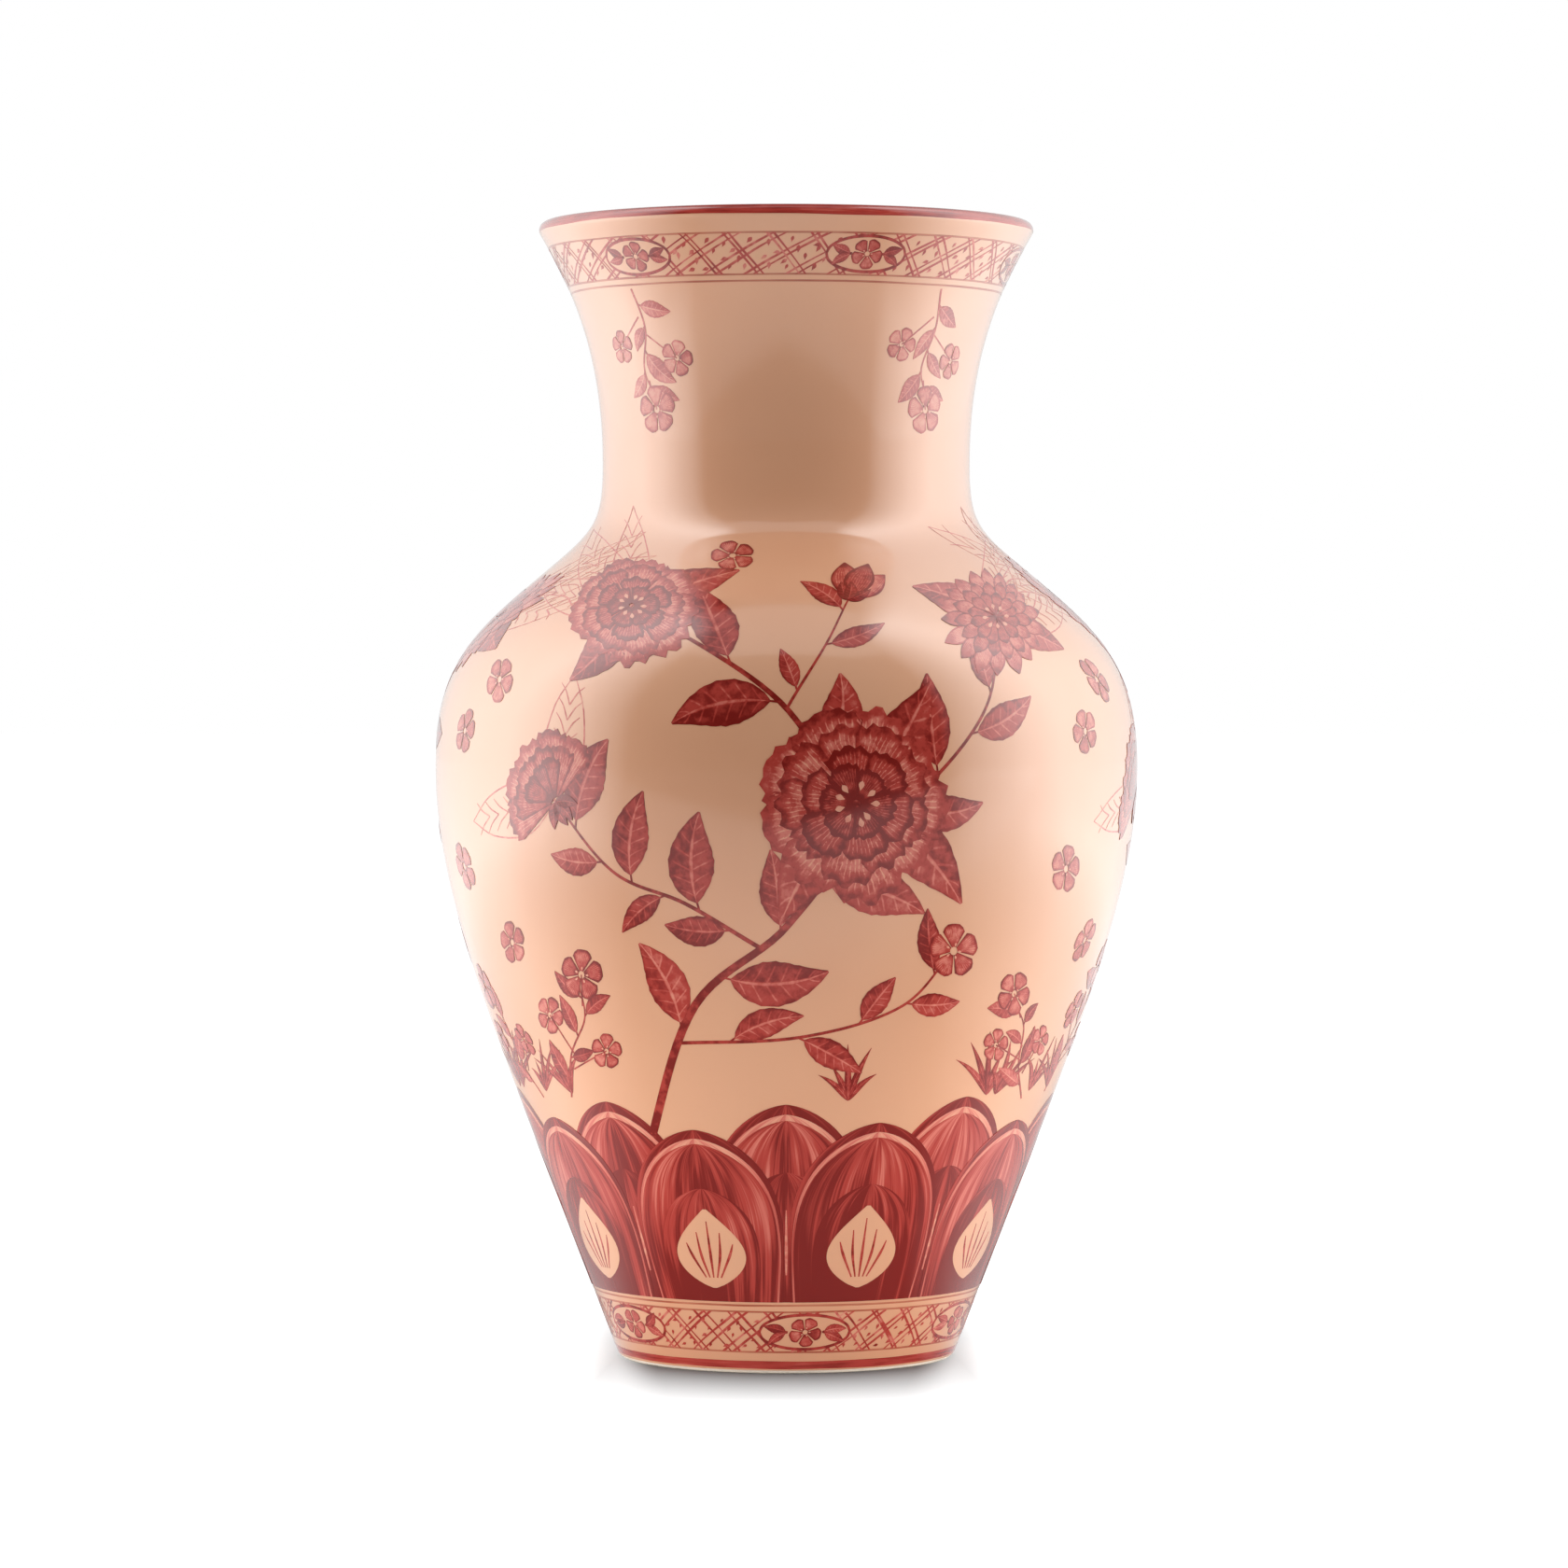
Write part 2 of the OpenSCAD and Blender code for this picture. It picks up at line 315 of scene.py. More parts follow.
class Value:
    """A number that a node puts out, ready for sums with other numbers."""

    def __init__(self, nodes, socket):
        self.nodes = nodes
        self.socket = socket

    def __add__(self, other):
        return self.nodes.sum("ADD", self, other)

    def __sub__(self, other):
        return self.nodes.sum("SUBTRACT", self, other)

    def __rsub__(self, other):
        return self.nodes.sum("SUBTRACT", other, self)

    def __mul__(self, other):
        return self.nodes.sum("MULTIPLY", self, other)

    def __truediv__(self, other):
        return self.nodes.sum("DIVIDE", self, other)

    def __neg__(self):
        return self * -1.0

    def __abs__(self):
        return self.nodes.sum("ABSOLUTE", self)


class Nodes:
    """Adds nodes to a tree."""

    def __init__(self, tree):
        self.tree = tree

    def node(self, kind, inputs=(), **settings):
        """A new node with its settings, and its inputs as values or links."""
        made = self.tree.nodes.new(kind)
        for key, value in settings.items():
            setattr(made, key, value)
        self.fill(made, dict(inputs))
        return made

    def fill(self, node, inputs):
        """Links inputs of a node to sockets, or sets their values."""
        for key, value in inputs.items():
            socket = node.inputs[key]
            if isinstance(value, Value):
                value = value.socket
            if isinstance(value, bpy.types.NodeSocket):
                self.tree.links.new(value, socket)
            elif socket.type == "RGBA":
                socket.default_value = (*value, 1)
            else:
                socket.default_value = value

    def number(self, kind, output, inputs=(), **settings):
        """A number that a new node puts out."""
        return Value(self, self.node(kind, inputs, **settings).outputs[output])

    def sum(self, operation, first, second=0.0):
        """The result of a sum on one or two numbers."""
        return self.number("ShaderNodeMath", 0, {0: first, 1: second}, operation=operation)

    def most(self, first, second):
        """The larger of two numbers."""
        return self.sum("MAXIMUM", first, second)

    def hypot(self, first, second):
        """The long side over two sides at a right angle."""
        return self.sum("SQRT", first * first + second * second)

    def split(self, vector):
        """The three parts of a vector."""
        made = self.node("ShaderNodeSeparateXYZ", {"Vector": vector})
        return [Value(self, socket) for socket in made.outputs]

    def blend(self, share, first, second):
        """Two colours mixed by a share."""
        made = self.node("ShaderNodeMix", data_type="RGBA")
        self.fill(made, {"Factor": share, "A": first, "B": second})
        return made.outputs["Result"]

    def noise(self, where, scale, detail=2.0, roughness=0.5):
        """Soft noise from 0 to 1."""
        return self.number("ShaderNodeTexNoise", "Fac", {"Vector": where, "Scale": scale, "Detail": detail,
                                                         "Roughness": roughness})

    def between(self, value, low, high, first=0.0, last=1.0, how="SMOOTHSTEP"):
        """A value brought from one span to another, with its ends held."""
        spans = {"Value": value, "From Min": low, "From Max": high, "To Min": first, "To Max": last}
        return self.number("ShaderNodeMapRange", "Result", spans, interpolation_type=how)

    def rays(self):
        """Whether a ray is a reflection, and whether it is one that the camera sees by."""
        path = self.node("ShaderNodeLightPath")
        glossy, camera, clear = (Value(self, path.outputs["Is " + kind + " Ray"])
                                 for kind in ("Glossy", "Camera", "Transmission"))
        return glossy, self.most(camera, clear)


class Recipe(Nodes):
    """A material that is made node by node."""

    def __init__(self, name):
        self.material = bpy.data.materials.new(name)
        self.material.use_nodes = True
        super().__init__(self.material.node_tree)
        self.shader = self.tree.nodes["Principled BSDF"]

    def place(self):
        """Coordinates of the piece itself, in metres."""
        return self.node("ShaderNodeTexCoord").outputs["Object"]

    def strip(self):
        """Places along a mark, from 0 to 1, and across it, from -1 to 1, from its UV map."""
        along, across, _ = self.split(self.node("ShaderNodeTexCoord").outputs["UV"])
        return along, across * 2.0 - 1.0

    def read(self, name):
        """A number kept on the mesh."""
        return self.number("ShaderNodeAttribute", "Fac", attribute_name=name)

    def emboss(self, height, depth, amount):
        """Gives the surface a fine relief."""
        made = self.node("ShaderNodeBump", {"Height": height, "Strength": amount, "Distance": depth})
        self.fill(self.shader, {"Normal": made.outputs["Normal"]})

    def glaze_over(self, roughness, under=0.3):
        """Lays a clear glassy surface over the colour, which keeps a little gloss of its own under it."""
        self.fill(self.shader, {"Coat Weight": 1.0, "Coat Roughness": roughness, "Coat IOR": GLAZE_IOR,
                                "Specular IOR Level": under})

    def finish(self, base, roughness):
        """Feeds the shader its colour and roughness."""
        self.fill(self.shader, {"Base Color": base, "Roughness": roughness, "IOR": PORCELAIN_IOR})
        return self.material


def ground_glaze(colours):
    """Coloured glaze: faint clouds, a little deeper where it pools, and an easy swell in the gloss."""
    mix = Recipe("ground_glaze")
    where = mix.place()
    clouds = mix.noise(where, scale=14, detail=3, roughness=0.55)
    grain = mix.noise(where, scale=700, roughness=0.6)
    height = mix.split(where)[2]
    root = mix.between(abs(height - ROOT_Z), 0.0, 0.018, 0.35, 0.0)
    foot = mix.between(height, 0.0, 0.03, 0.4, 0.0)
    pool = root + foot + mix.between(clouds, 0.35, 0.7, 0.0, 0.45)
    tint = mix.blend(pool, colours.ground, colours.ground_deep)
    tint = mix.blend(mix.between(grain, 0.62, 0.78, 0.0, 0.12), tint, colours.ground_deep)
    sheen = mix.between(clouds, 0.3, 0.7, colours.body_gloss * 0.9, colours.body_gloss * 1.15)
    mix.glaze_over(colours.gloss)
    mix.emboss(mix.noise(where, scale=45, detail=1, roughness=0.4), **SWELL)
    return mix.finish(tint, sheen)


def lining_glaze(colours):
    """White glaze on the inside and underneath, a little warmer in patches."""
    mix = Recipe("lining_glaze")
    where = mix.place()
    clouds = mix.noise(where, scale=20, detail=3, roughness=0.6)
    tint = mix.blend(mix.between(clouds, 0.35, 0.7), colours.lining, colours.biscuit)
    sheen = mix.between(clouds, 0.3, 0.7, colours.body_gloss, colours.body_gloss * 1.2)
    mix.glaze_over(colours.gloss)
    mix.emboss(mix.noise(where, scale=60, detail=1, roughness=0.4), **SWELL)
    return mix.finish(tint, sheen)


def bare_porcelain(colours):
    """Fired porcelain with no glaze: fine grain and a rubbed, slightly grey standing face."""
    mix = Recipe("bare_porcelain")
    where = mix.place()
    grain = mix.noise(where, scale=1600, detail=3, roughness=0.7)
    wear = mix.noise(where, scale=90, detail=4, roughness=0.65)
    height = mix.split(where)[2]
    rubbed = mix.between(height, 0.0, 0.0012, 0.5, 0.0) * mix.between(wear, 0.4, 0.65)
    worn = [c * 0.72 for c in colours.biscuit]
    tint = mix.blend(mix.between(grain, 0.3, 0.75, 0.0, 0.25), colours.biscuit, worn)
    mix.emboss(grain, **GRAIN)
    return mix.finish(mix.blend(rubbed, tint, worn), mix.between(wear, 0.3, 0.7, 0.5, 0.72))


# Making pieces


SMOOTH_ANGLE = math.radians(40)
WELD = 1e-6


def start_clean():
    """Leaves nothing selected and Blender in object mode."""
    if bpy.context.object is not None and bpy.context.object.mode != "OBJECT":
        bpy.ops.object.mode_set(mode="OBJECT")
    bpy.ops.object.select_all(action="DESELECT")


def pick_edge(piece, ends):
    """Selects the edge between two vertices, and leaves the piece in edit mode."""
    bpy.ops.object.mode_set(mode="EDIT")
    bpy.ops.mesh.select_mode(type="EDGE")
    bpy.ops.mesh.select_all(action="DESELECT")
    bpy.ops.object.mode_set(mode="OBJECT")
    for edge in piece.data.edges:
        edge.select = set(edge.vertices) == ends
    bpy.ops.object.mode_set(mode="EDIT")


def move(piece, points):
    """Puts the vertices of a piece in their places."""
    piece.data.vertices.foreach_set("co", points.ravel())
    piece.data.update()


def keep_tone(piece, tones):
    """Keeps the depth of the paint on the mesh."""
    piece.data.attributes.new("tone", "FLOAT", "POINT").data.foreach_set("value", tones)


def hand_over(piece, name, material, slot, *nodes):
    """Names a finished piece, gives it its material and parents it to the root body."""
    piece.name = name
    piece.data.name = name
    piece.data.materials.clear()
    piece.data.materials.append(material)
    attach(piece, "root")
    if nodes:
        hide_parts(*nodes)


def turned(outline, segments, on_axis=False):
    """A closed outline of radius and height, spun about the vertical axis.

    The outline starts as a ring of points. With on_axis its first and last points lie on the axis."""
    start_clean()
    bpy.ops.mesh.primitive_circle_add(vertices=len(outline), radius=1, fill_type="NOTHING")
    piece = bpy.context.object
    for vertex, (r, z) in zip(piece.data.vertices, outline):
        vertex.co = (r, 0, z)
    if on_axis:
        pick_edge(piece, {0, len(outline) - 1})
        bpy.ops.mesh.delete(type="EDGE_FACE")
    else:
        bpy.ops.object.mode_set(mode="EDIT")
    bpy.ops.mesh.select_all(action="SELECT")
    bpy.ops.mesh.spin(steps=segments, angle=math.tau, center=(0, 0, 0), axis=(0, 0, 1))
    bpy.ops.mesh.select_all(action="SELECT")
    bpy.ops.mesh.remove_doubles(threshold=WELD)
    bpy.ops.mesh.normals_make_consistent(inside=False)
    bpy.ops.object.mode_set(mode="OBJECT")
    bpy.ops.object.shade_smooth_by_angle(angle=SMOOTH_ANGLE)
    return piece


# The glazed body


BODY_ROW = 1.7 * MM
LIP_ROW = 0.35 * MM
HIDDEN_ROW = 5 * MM
HIDDEN_GAP = 1 * MM
FLOOR_STEPS = 8
COVE_STEPS = 14
EDGE_STEPS = 10
RECESS_STEPS = 8
RECESS_COVE = 1.6 * MM


def middle_wall(vase):
    """The hidden line in the middle of the wall where the outside and the lining meet, from the lip down."""
    line = vase.line
    depth = vase.shape.wall / 2
    wall = line.stretch(line.lip_s, line.s_at(line.base_z), HIDDEN_ROW, -depth)
    wall = wall[wall[:, 1] > line.base_z + HIDDEN_GAP]
    return np.concatenate([[line.lip_centre], wall[1:], [[line.taper_r(line.base_z, depth), line.base_z]]])


def body_outline(vase):
    """The coloured outside, up to the crown of the lip."""
    line = vase.line
    base_s = line.s_at(line.base_z)
    return np.concatenate([
        line.stretch(0, base_s, BODY_ROW)[:-1],
        line.stretch(base_s, line.lip_s, BODY_ROW)[:-1],
        line.stretch(line.lip_s, line.crown_s, LIP_ROW),
        middle_wall(vase),
        [[line.taper_r(z, vase.shape.glaze), z] for z in (line.base_z, line.glaze_z)],
    ])


def lining_outline(vase):
    """The white inside, from the floor over a cove and up the wall to the crown of the lip."""
    shape, line = vase.shape, vase.line
    floor_z = line.base_z + shape.floor_t + shape.glaze
    inner = line.stretch(0, line.lip_s, BODY_ROW, -shape.wall)
    inner = inner[inner[:, 1] > floor_z + shape.floor_round]
    top = inner[0]
    run = inner[1] - top
    corner = np.array([top[0] - (top[1] - floor_z) * (run[0] / run[1]), floor_z])
    start = corner - (shape.floor_round, 0)
    t = np.linspace(0, 1, COVE_STEPS)[:-1, None]
    return np.concatenate([
        [[r, floor_z] for r in np.linspace(0, start[0], FLOOR_STEPS)[:-1]],
        (1 - t) ** 2 * start + 2 * t * (1 - t) * corner + t * t * top,
        inner[:-1],
        line.stretch(line.s[-1], line.crown_s, LIP_ROW),
        middle_wall(vase),
        [[0, line.base_z]],
    ])


def ring_outline(vase, bore):
    """The bare foot ring round its bore."""
    shape, line = vase.shape, vase.line
    edge_r = shape.foot_round
    edge = (line.taper_r(edge_r, shape.glaze + edge_r), edge_r)
    return np.concatenate([
        arc(edge, edge_r, -math.pi / 2, -shape.foot_taper, EDGE_STEPS),
        [[line.taper_r(line.base_z, shape.glaze), line.base_z], [bore, line.base_z]],
        arc((bore + edge_r, edge_r), edge_r, math.pi, 1.5 * math.pi, EDGE_STEPS),
    ])


def recess_outline(vase, bore):
    """The white coat in the recess under the foot."""
    line = vase.line
    under = line.base_z - vase.shape.glaze
    inner_bore = bore - vase.shape.glaze
    return np.concatenate([
        [[0, under]],
        arc((inner_bore - RECESS_COVE, under - RECESS_COVE), RECESS_COVE, math.pi / 2, 0, RECESS_STEPS),
        [[inner_bore, line.glaze_z], [bore, line.glaze_z], [bore, line.base_z], [0, line.base_z]],
    ])


class VASE_OT_body(Step, bpy.types.Operator):
    """Turns the glazed body, its lining, the foot ring and the glaze underneath."""

    bl_idname = "vase.body"
    bl_label = "Glazed body"

    def build(self, vase):
        around = vase.shape.segments
        bore = vase.line.taper_r(0, vase.shape.glaze) - vase.shape.foot_w
        body = turned(body_outline(vase), around)
        hand_over(body, "ground_glaze_body", ground_glaze(vase.glaze), "ground_glaze", "outer_glaze",
                  "lower_body", "shoulder", "neck", "belly_slip_joint", "neck_slip_joint")
        white = lining_glaze(vase.glaze)
        lining = turned(lining_outline(vase), around, on_axis=True)
        hand_over(lining, "lining_glaze_inside", white, "lining_glaze", "inner_glaze")
        foot = turned(ring_outline(vase, bore), around)
        bare = bare_porcelain(vase.glaze)
        hand_over(foot, "bare_foot_ring", bare, "porcelain", "foot_ring", "foot_slip_joint")
        base = turned(recess_outline(vase, bore), around, on_axis=True)
        hand_over(base, "lining_glaze_underneath", white, "lining_glaze", "base_glaze")


# Brush marks, drawn flat in metres


GRIDS = {"petal": (14, 12), "floret": (7, 8), "leaf": (20, 9), "stroke": (14, 3), "branch": (60, 3),
         "seed": (6, 4), "lappet": (26, 23)}
GRIDS["petal_blade"] = GRIDS["leaf"]
GRIDS["reserve"] = GRIDS["lappet"]


def grid(kind):
    """Places along a mark, from 0 to 1, and across it, from -1 to 1."""
    along, across = GRIDS[kind]
    return np.meshgrid(np.linspace(0, 1, along), np.linspace(-1, 1, across), indexing="ij")


def fan(kind, reach, half, lobes=3, scallop=0.06, start=0.1, droop=0.12):
    """A petal that widens from its root to a scalloped edge."""
    u, v = grid(kind)
    edge = 1 + (scallop * np.cos(lobes * np.pi * v) - droop * v * v) * u * u
    r = reach * (start + (1 - start) * u) * edge
    return np.stack([r * np.cos(half * v), r * np.sin(half * v)], -1)


def blade(kind, reach, half, fullest=0.45, bend=0.001, teeth=0.0):
    """A leaf or a drop that starts and ends narrow on a bent middle line."""
    u, v = grid(kind)
    swell = np.sin(np.pi * u ** (math.log(0.5) / math.log(fullest)))
    width = half * (0.05 + 0.95 * swell * (1 + teeth * np.sin(7 * math.tau * u)))
    heading = bend * u
    x = reach * np.sin(heading) / bend - v * width * np.sin(heading)
    y = reach * (1 - np.cos(heading)) / bend + v * width * np.cos(heading)
    return np.stack([x, y], -1)


def flowing(points, count):
    """A smooth path through some points."""
    p = np.array(points, float)
    p = np.concatenate([[2 * p[0] - p[1]], p, [2 * p[-1] - p[-2]]])
    at = np.linspace(0, len(p) - 3, count)
    i = np.minimum(at.astype(int), len(p) - 4)
    t = (at - i)[:, None]
    a, b, c, d = p[i], p[i + 1], p[i + 2], p[i + 3]
    square = 2 * a - 5 * b + 4 * c - d
    cube = 3 * b - a - 3 * c + d
    return 0.5 * (2 * b + (c - a) * t + square * t ** 2 + cube * t ** 3)


def ribbon(kind, points, widths):
    """A brush stroke through some points, its width given from end to end."""
    u, v = grid(kind)
    path = flowing(points, u.shape[0])
    run = unit(np.gradient(path, axis=0))
    left = np.stack([-run[:, 1], run[:, 0]], 1)
    half = np.interp(u[:, 0], np.linspace(0, 1, len(widths)), widths) / 2
    return path[:, None, :] + v[..., None] * (half[:, None] * left)[:, None, :]


def line_mark(points, widths_mm, tone, layer=0, kind="stroke"):
    """A brush stroke as a mark, its widths in millimetres."""
    return (kind, ribbon(kind, points, MM * np.array(widths_mm)), tone, layer)


def placed(marks, x=0.0, y=0.0, way=0.0, layer=0, deeper=0.0):
    """A motif moved to its place and turned, on a higher layer and in deeper paint."""
    turn = np.array([[math.cos(way), math.sin(way)], [-math.sin(way), math.cos(way)]])
    return [(kind, flat @ turn + (x, y), tone + deeper, level + layer) for kind, flat, tone, level in marks]


# Motifs


def stamens(rng, reach, count, layer):
    """A ring of pale drops."""
    drop = blade("seed", reach * 0.42, reach * 0.13, 0.6)
    marks = []
    for i in range(count):
        out = reach * rng.uniform(0.45, 0.62)
        marks += placed([("seed", drop + (out, 0), -0.35, layer)],
                        way=i * math.tau / count + rng.normal(0, 0.08))
    return marks


def peony(rng, width):
    """A large round flower with four rings of petals, given as count, reach, half angle and tone."""
    rings = ((9, 1.0, 0.43, 0.3), (9, 0.8, 0.42, 0.46), (6, 0.6, 0.52, 0.68), (6, 0.4, 0.55, 0.95))
    marks = []
    for ring, (count, reach, half, tone) in enumerate(rings):
        first = rng.uniform(0, math.tau)
        for i in range(count):
            petal = fan("petal", width / 2 * reach * rng.uniform(0.92, 1.08), half * rng.uniform(0.92, 1.1),
                        lobes=rng.choice([3, 4, 5]), scallop=rng.uniform(0.03, 0.06))
            marks += placed([("petal", petal, tone + rng.normal(0, 0.06), 3 * ring + i % 3)],
                            way=first + i * math.tau / count + rng.normal(0, 0.05))
    return marks + stamens(rng, width * 0.12, 9, 3 * len(rings))


def blossom(rng, width):
    """A small flower with five round petals."""
    petal = fan("floret", width / 2, 0.56, lobes=2, scallop=-0.02, start=0.15, droop=0.16)
    marks = []
    first = rng.uniform(0, math.tau)
    for i in range(5):
        marks += placed([("floret", petal, 0.55 + rng.normal(0, 0.1), i % 2 + i // 4)],
                        way=first + i * math.tau / 5)
    return marks + stamens(rng, width * 0.17, 5, 3)


def daisy(rng, width):
    """A many-petalled autumn flower with three rings of narrow petals, given as count, reach and tone."""
    marks = []
    for ring, (count, reach, tone) in enumerate(((18, 1.0, 0.42), (15, 0.76, 0.58), (12, 0.52, 0.78))):
        half = width * 0.075 * (0.6 + 0.4 * reach)
        first = rng.uniform(0, math.tau)
        for i in range(count):
            petal = blade("leaf", width / 2 * reach * rng.uniform(0.93, 1.05), half, 0.72)
            marks += placed([("petal_blade", petal, tone + rng.normal(0, 0.07), 3 * ring + i % 3)],
                            way=first + i * math.tau / count + rng.normal(0, 0.03))
    return marks + stamens(rng, width * 0.13, 8, 9)


def sepals(ways, reach, half, bend, tone, layers):
    """Small leaves that hold a flower, bent to either side by turns."""
    marks = []
    for i, (way, layer) in enumerate(zip(ways, layers)):
        sepal = blade("leaf", reach, half, 0.4, bend=bend * (-1) ** i)
        marks += placed([("leaf", sepal, tone, layer)], way=way)
    return marks


def side_bloom(rng, width):
    """A flower from the side: rows of petals, given as count, reach, spread and tone, over sepals."""
    marks = []
    rows = ((5, 1.0, 1.15, 0.4), (4, 0.82, 0.85, 0.58), (3, 0.62, 0.5, 0.8))
    for row, (count, reach, spread, tone) in enumerate(rows):
        for i, way in enumerate(np.linspace(-spread, spread, count)):
            petal = fan("petal", width * 0.62 * reach * rng.uniform(0.94, 1.06), 0.4,
                        lobes=rng.choice([3, 5]), scallop=0.045)
            marks += placed([("petal", petal, tone + rng.normal(0, 0.06), 3 * row + i % 3)], way=way)
    return marks + sepals((2.1, -2.1, 2.75, -2.75), width * 0.24, width * 0.06, 0.5, 0.85, (9, 10, 9, 10))


def bud(rng, width):
    """A closed flower with a cup of sepals."""
    marks = []
    for i, way in enumerate((-0.42, 0.42, 0.0)):
        petal = blade("leaf", width * rng.uniform(0.95, 1.08), width * 0.27, 0.55)
        marks += placed([("petal_blade", petal, 0.45 + 0.18 * i, i)], way=way)
    return marks + sepals((-0.8, 0.8, 0.05), width * 0.5, width * 0.12, 0.4, 0.9, (3, 4, 5))


def leaf(rng, reach, tone=0.62):
    """A toothed oval leaf on a short stalk."""
    half = reach * rng.uniform(0.2, 0.26)
    shape = blade("leaf", reach, half, 0.42, rng.uniform(-0.7, 0.7) + 0.002, 0.03)
    return [("leaf", shape + (reach * 0.1, 0), tone + rng.normal(0, 0.1), 1),
            line_mark([(0, 0), (reach * 0.12, 0)], [0.6, 0.5], 0.8)]


def drawn_leaf(rng, reach):
    """A pale leaf that is only outlined, with a few veins."""
    size = (reach, reach * rng.uniform(0.16, 0.22))
    marks = []
    for side in (-1, 1):
        edge = [(0, 0), (0.3, side), (0.7, side * 0.8), (1, 0)]
        marks.append(line_mark(np.array(edge) * size, [0.3, 0.5, 0.3], 0.12))
    for at in np.linspace(0.15, 0.75, 6):
        for side in (-1, 1):
            vein = [(at, 0), (at + 0.1, side * 0.3), (at + 0.16, side * 0.62)]
            marks.append(line_mark(np.array(vein) * size, [0.4, 0.4, 0.2], 0.1))
    return marks


def grown(rng, path, widths_mm, leaves, reach, tone=0.75):
    """A branch with leaves on either side."""
    marks = [line_mark(path, widths_mm, tone, kind="branch")]
    steps = GRIDS["branch"][0]
    way = flowing(path, steps)
    for i, at in enumerate(np.linspace(0.14, 0.9, leaves)):
        k = int(at * (steps - 2))
        run = way[k + 1] - way[k]
        heading = math.atan2(run[1], run[0]) + (-1) ** i * rng.uniform(0.6, 1.1)
        marks += placed(leaf(rng, reach * rng.uniform(0.7, 1.15)), *way[k], way=heading, layer=1 + i % 3)
    return marks


def sprig(rng, reach):
    """A small spray that grows along its own direction: a stem, paired leaves and three blossoms."""
    stem = reach * np.array([(0, 0), (0.35, 0.05), (0.7, -0.04), (0.95, 0.06)])
    marks = grown(rng, stem, [0.7, 0.6, 0.4], 5, reach * 0.34, 0.7)
    for x, y, width in ((1.05, 0.06, 0.42), (0.62, 0.34, 0.32), (0.5, -0.3, 0.3)):
        stalk = reach * np.array([(x - 0.25, 0), (x - 0.1, y * 0.6), (x, y)])
        marks.append(line_mark(stalk, [0.5, 0.4], 0.7))
        marks += placed(blossom(rng, reach * width), reach * x, reach * y, layer=5)
    return marks


def grass(rng, reach):
    """A tuft of curved blades."""
    marks = []
    for i, way in enumerate(np.linspace(-0.7, 0.7, 5)):
        shape = blade("leaf", reach * rng.uniform(0.6, 1.1), reach * 0.06, 0.35, bend=way * 0.9 + 0.01)
        marks += placed([("leaf", shape, 0.75 + rng.normal(0, 0.08), i % 3)], way=way * 0.7)
    return marks


def garden(rng):
    """One third of the picture round the body, in millimetres from the middle of the belly."""
    marks = []
    low, high, right, left, top = (18, -8), (-42, 48), (60, 44), (-64, -8), (16, 50)
    ground = -88

    def stem(points, widths_mm, leaves, reach, tone=0.75):
        marks.extend(grown(rng, MM * np.array(points), widths_mm, leaves, reach * MM, tone))

    def put(motif, place, way=0.0, layer=0):
        marks.extend(placed(motif, place[0] * MM, place[1] * MM, way, layer))

    stem([(-38, -104), (-24, -62), (0, -40), (15, -14), (2, 14), (-22, 34), (-42, 46)],
         [2.6, 1.9, 1.5, 0.9], 9, 24, 0.85)
    stem([(13, -20), (34, -6), (54, 16), (60, 40)], [1.2, 0.9, 0.6], 6, 21)
    stem([(-6, -46), (-26, -34), (-46, -26), left], [1.2, 0.9, 0.6], 6, 21)
    stem([(0, 16), (10, 34), top], [0.8, 0.5], 3, 15)
    stem([(-28, -72), (4, -70), (30, -62), (44, -48)], [1.0, 0.6], 5, 17)
    for i, (place, way, reach) in enumerate(((low, -0.5, 36), (low, -2.3, 33), (low, 0.9, 34),
                                             (high, -1.9, 28), (high, 0.5, 30), (right, 2.6, 26),
                                             (right, -0.4, 26))):
        put(leaf(rng, reach * MM, 0.7), place, way, 4 + i % 2)
    for place, way, reach in ((high, 1.7, 38), (high, 2.3, 42), (high, 2.95, 40), (right, 0.1, 38),
                              (right, 0.65, 40), (right, 1.2, 36), (left, 3.3, 36), (left, 1.4, 34)):
        put(drawn_leaf(rng, reach * MM), place, way)
    for flower, place, way, width in ((peony, low, 0, 50), (peony, high, 0, 40), (daisy, right, 0, 38),
                                      (side_bloom, left, 2.3, 30), (bud, top, 1.2, 15)):
        put(flower(rng, width * MM), place, way, 7)
    for place, width in (((45, -47), 15), ((-88, 24), 13), ((84, -26), 13), ((-14, 68), 12), ((92, 10), 12),
                         ((-84, -46), 12)):
        put(blossom(rng, width * MM), place, layer=4)
    for place, lean, reach in (((-64, -89), -0.25, 34), ((74, -90), 0.2, 30)):
        put(sprig(rng, reach * MM), place, math.pi / 2 + lean, 1)
    for x, reach in ((-92, 17), (-76, 14), (16, 15), (58, 18), (90, 15)):
        put(grass(rng, reach * MM), (x, ground), math.pi / 2)
    return marks


# Marks on the vase


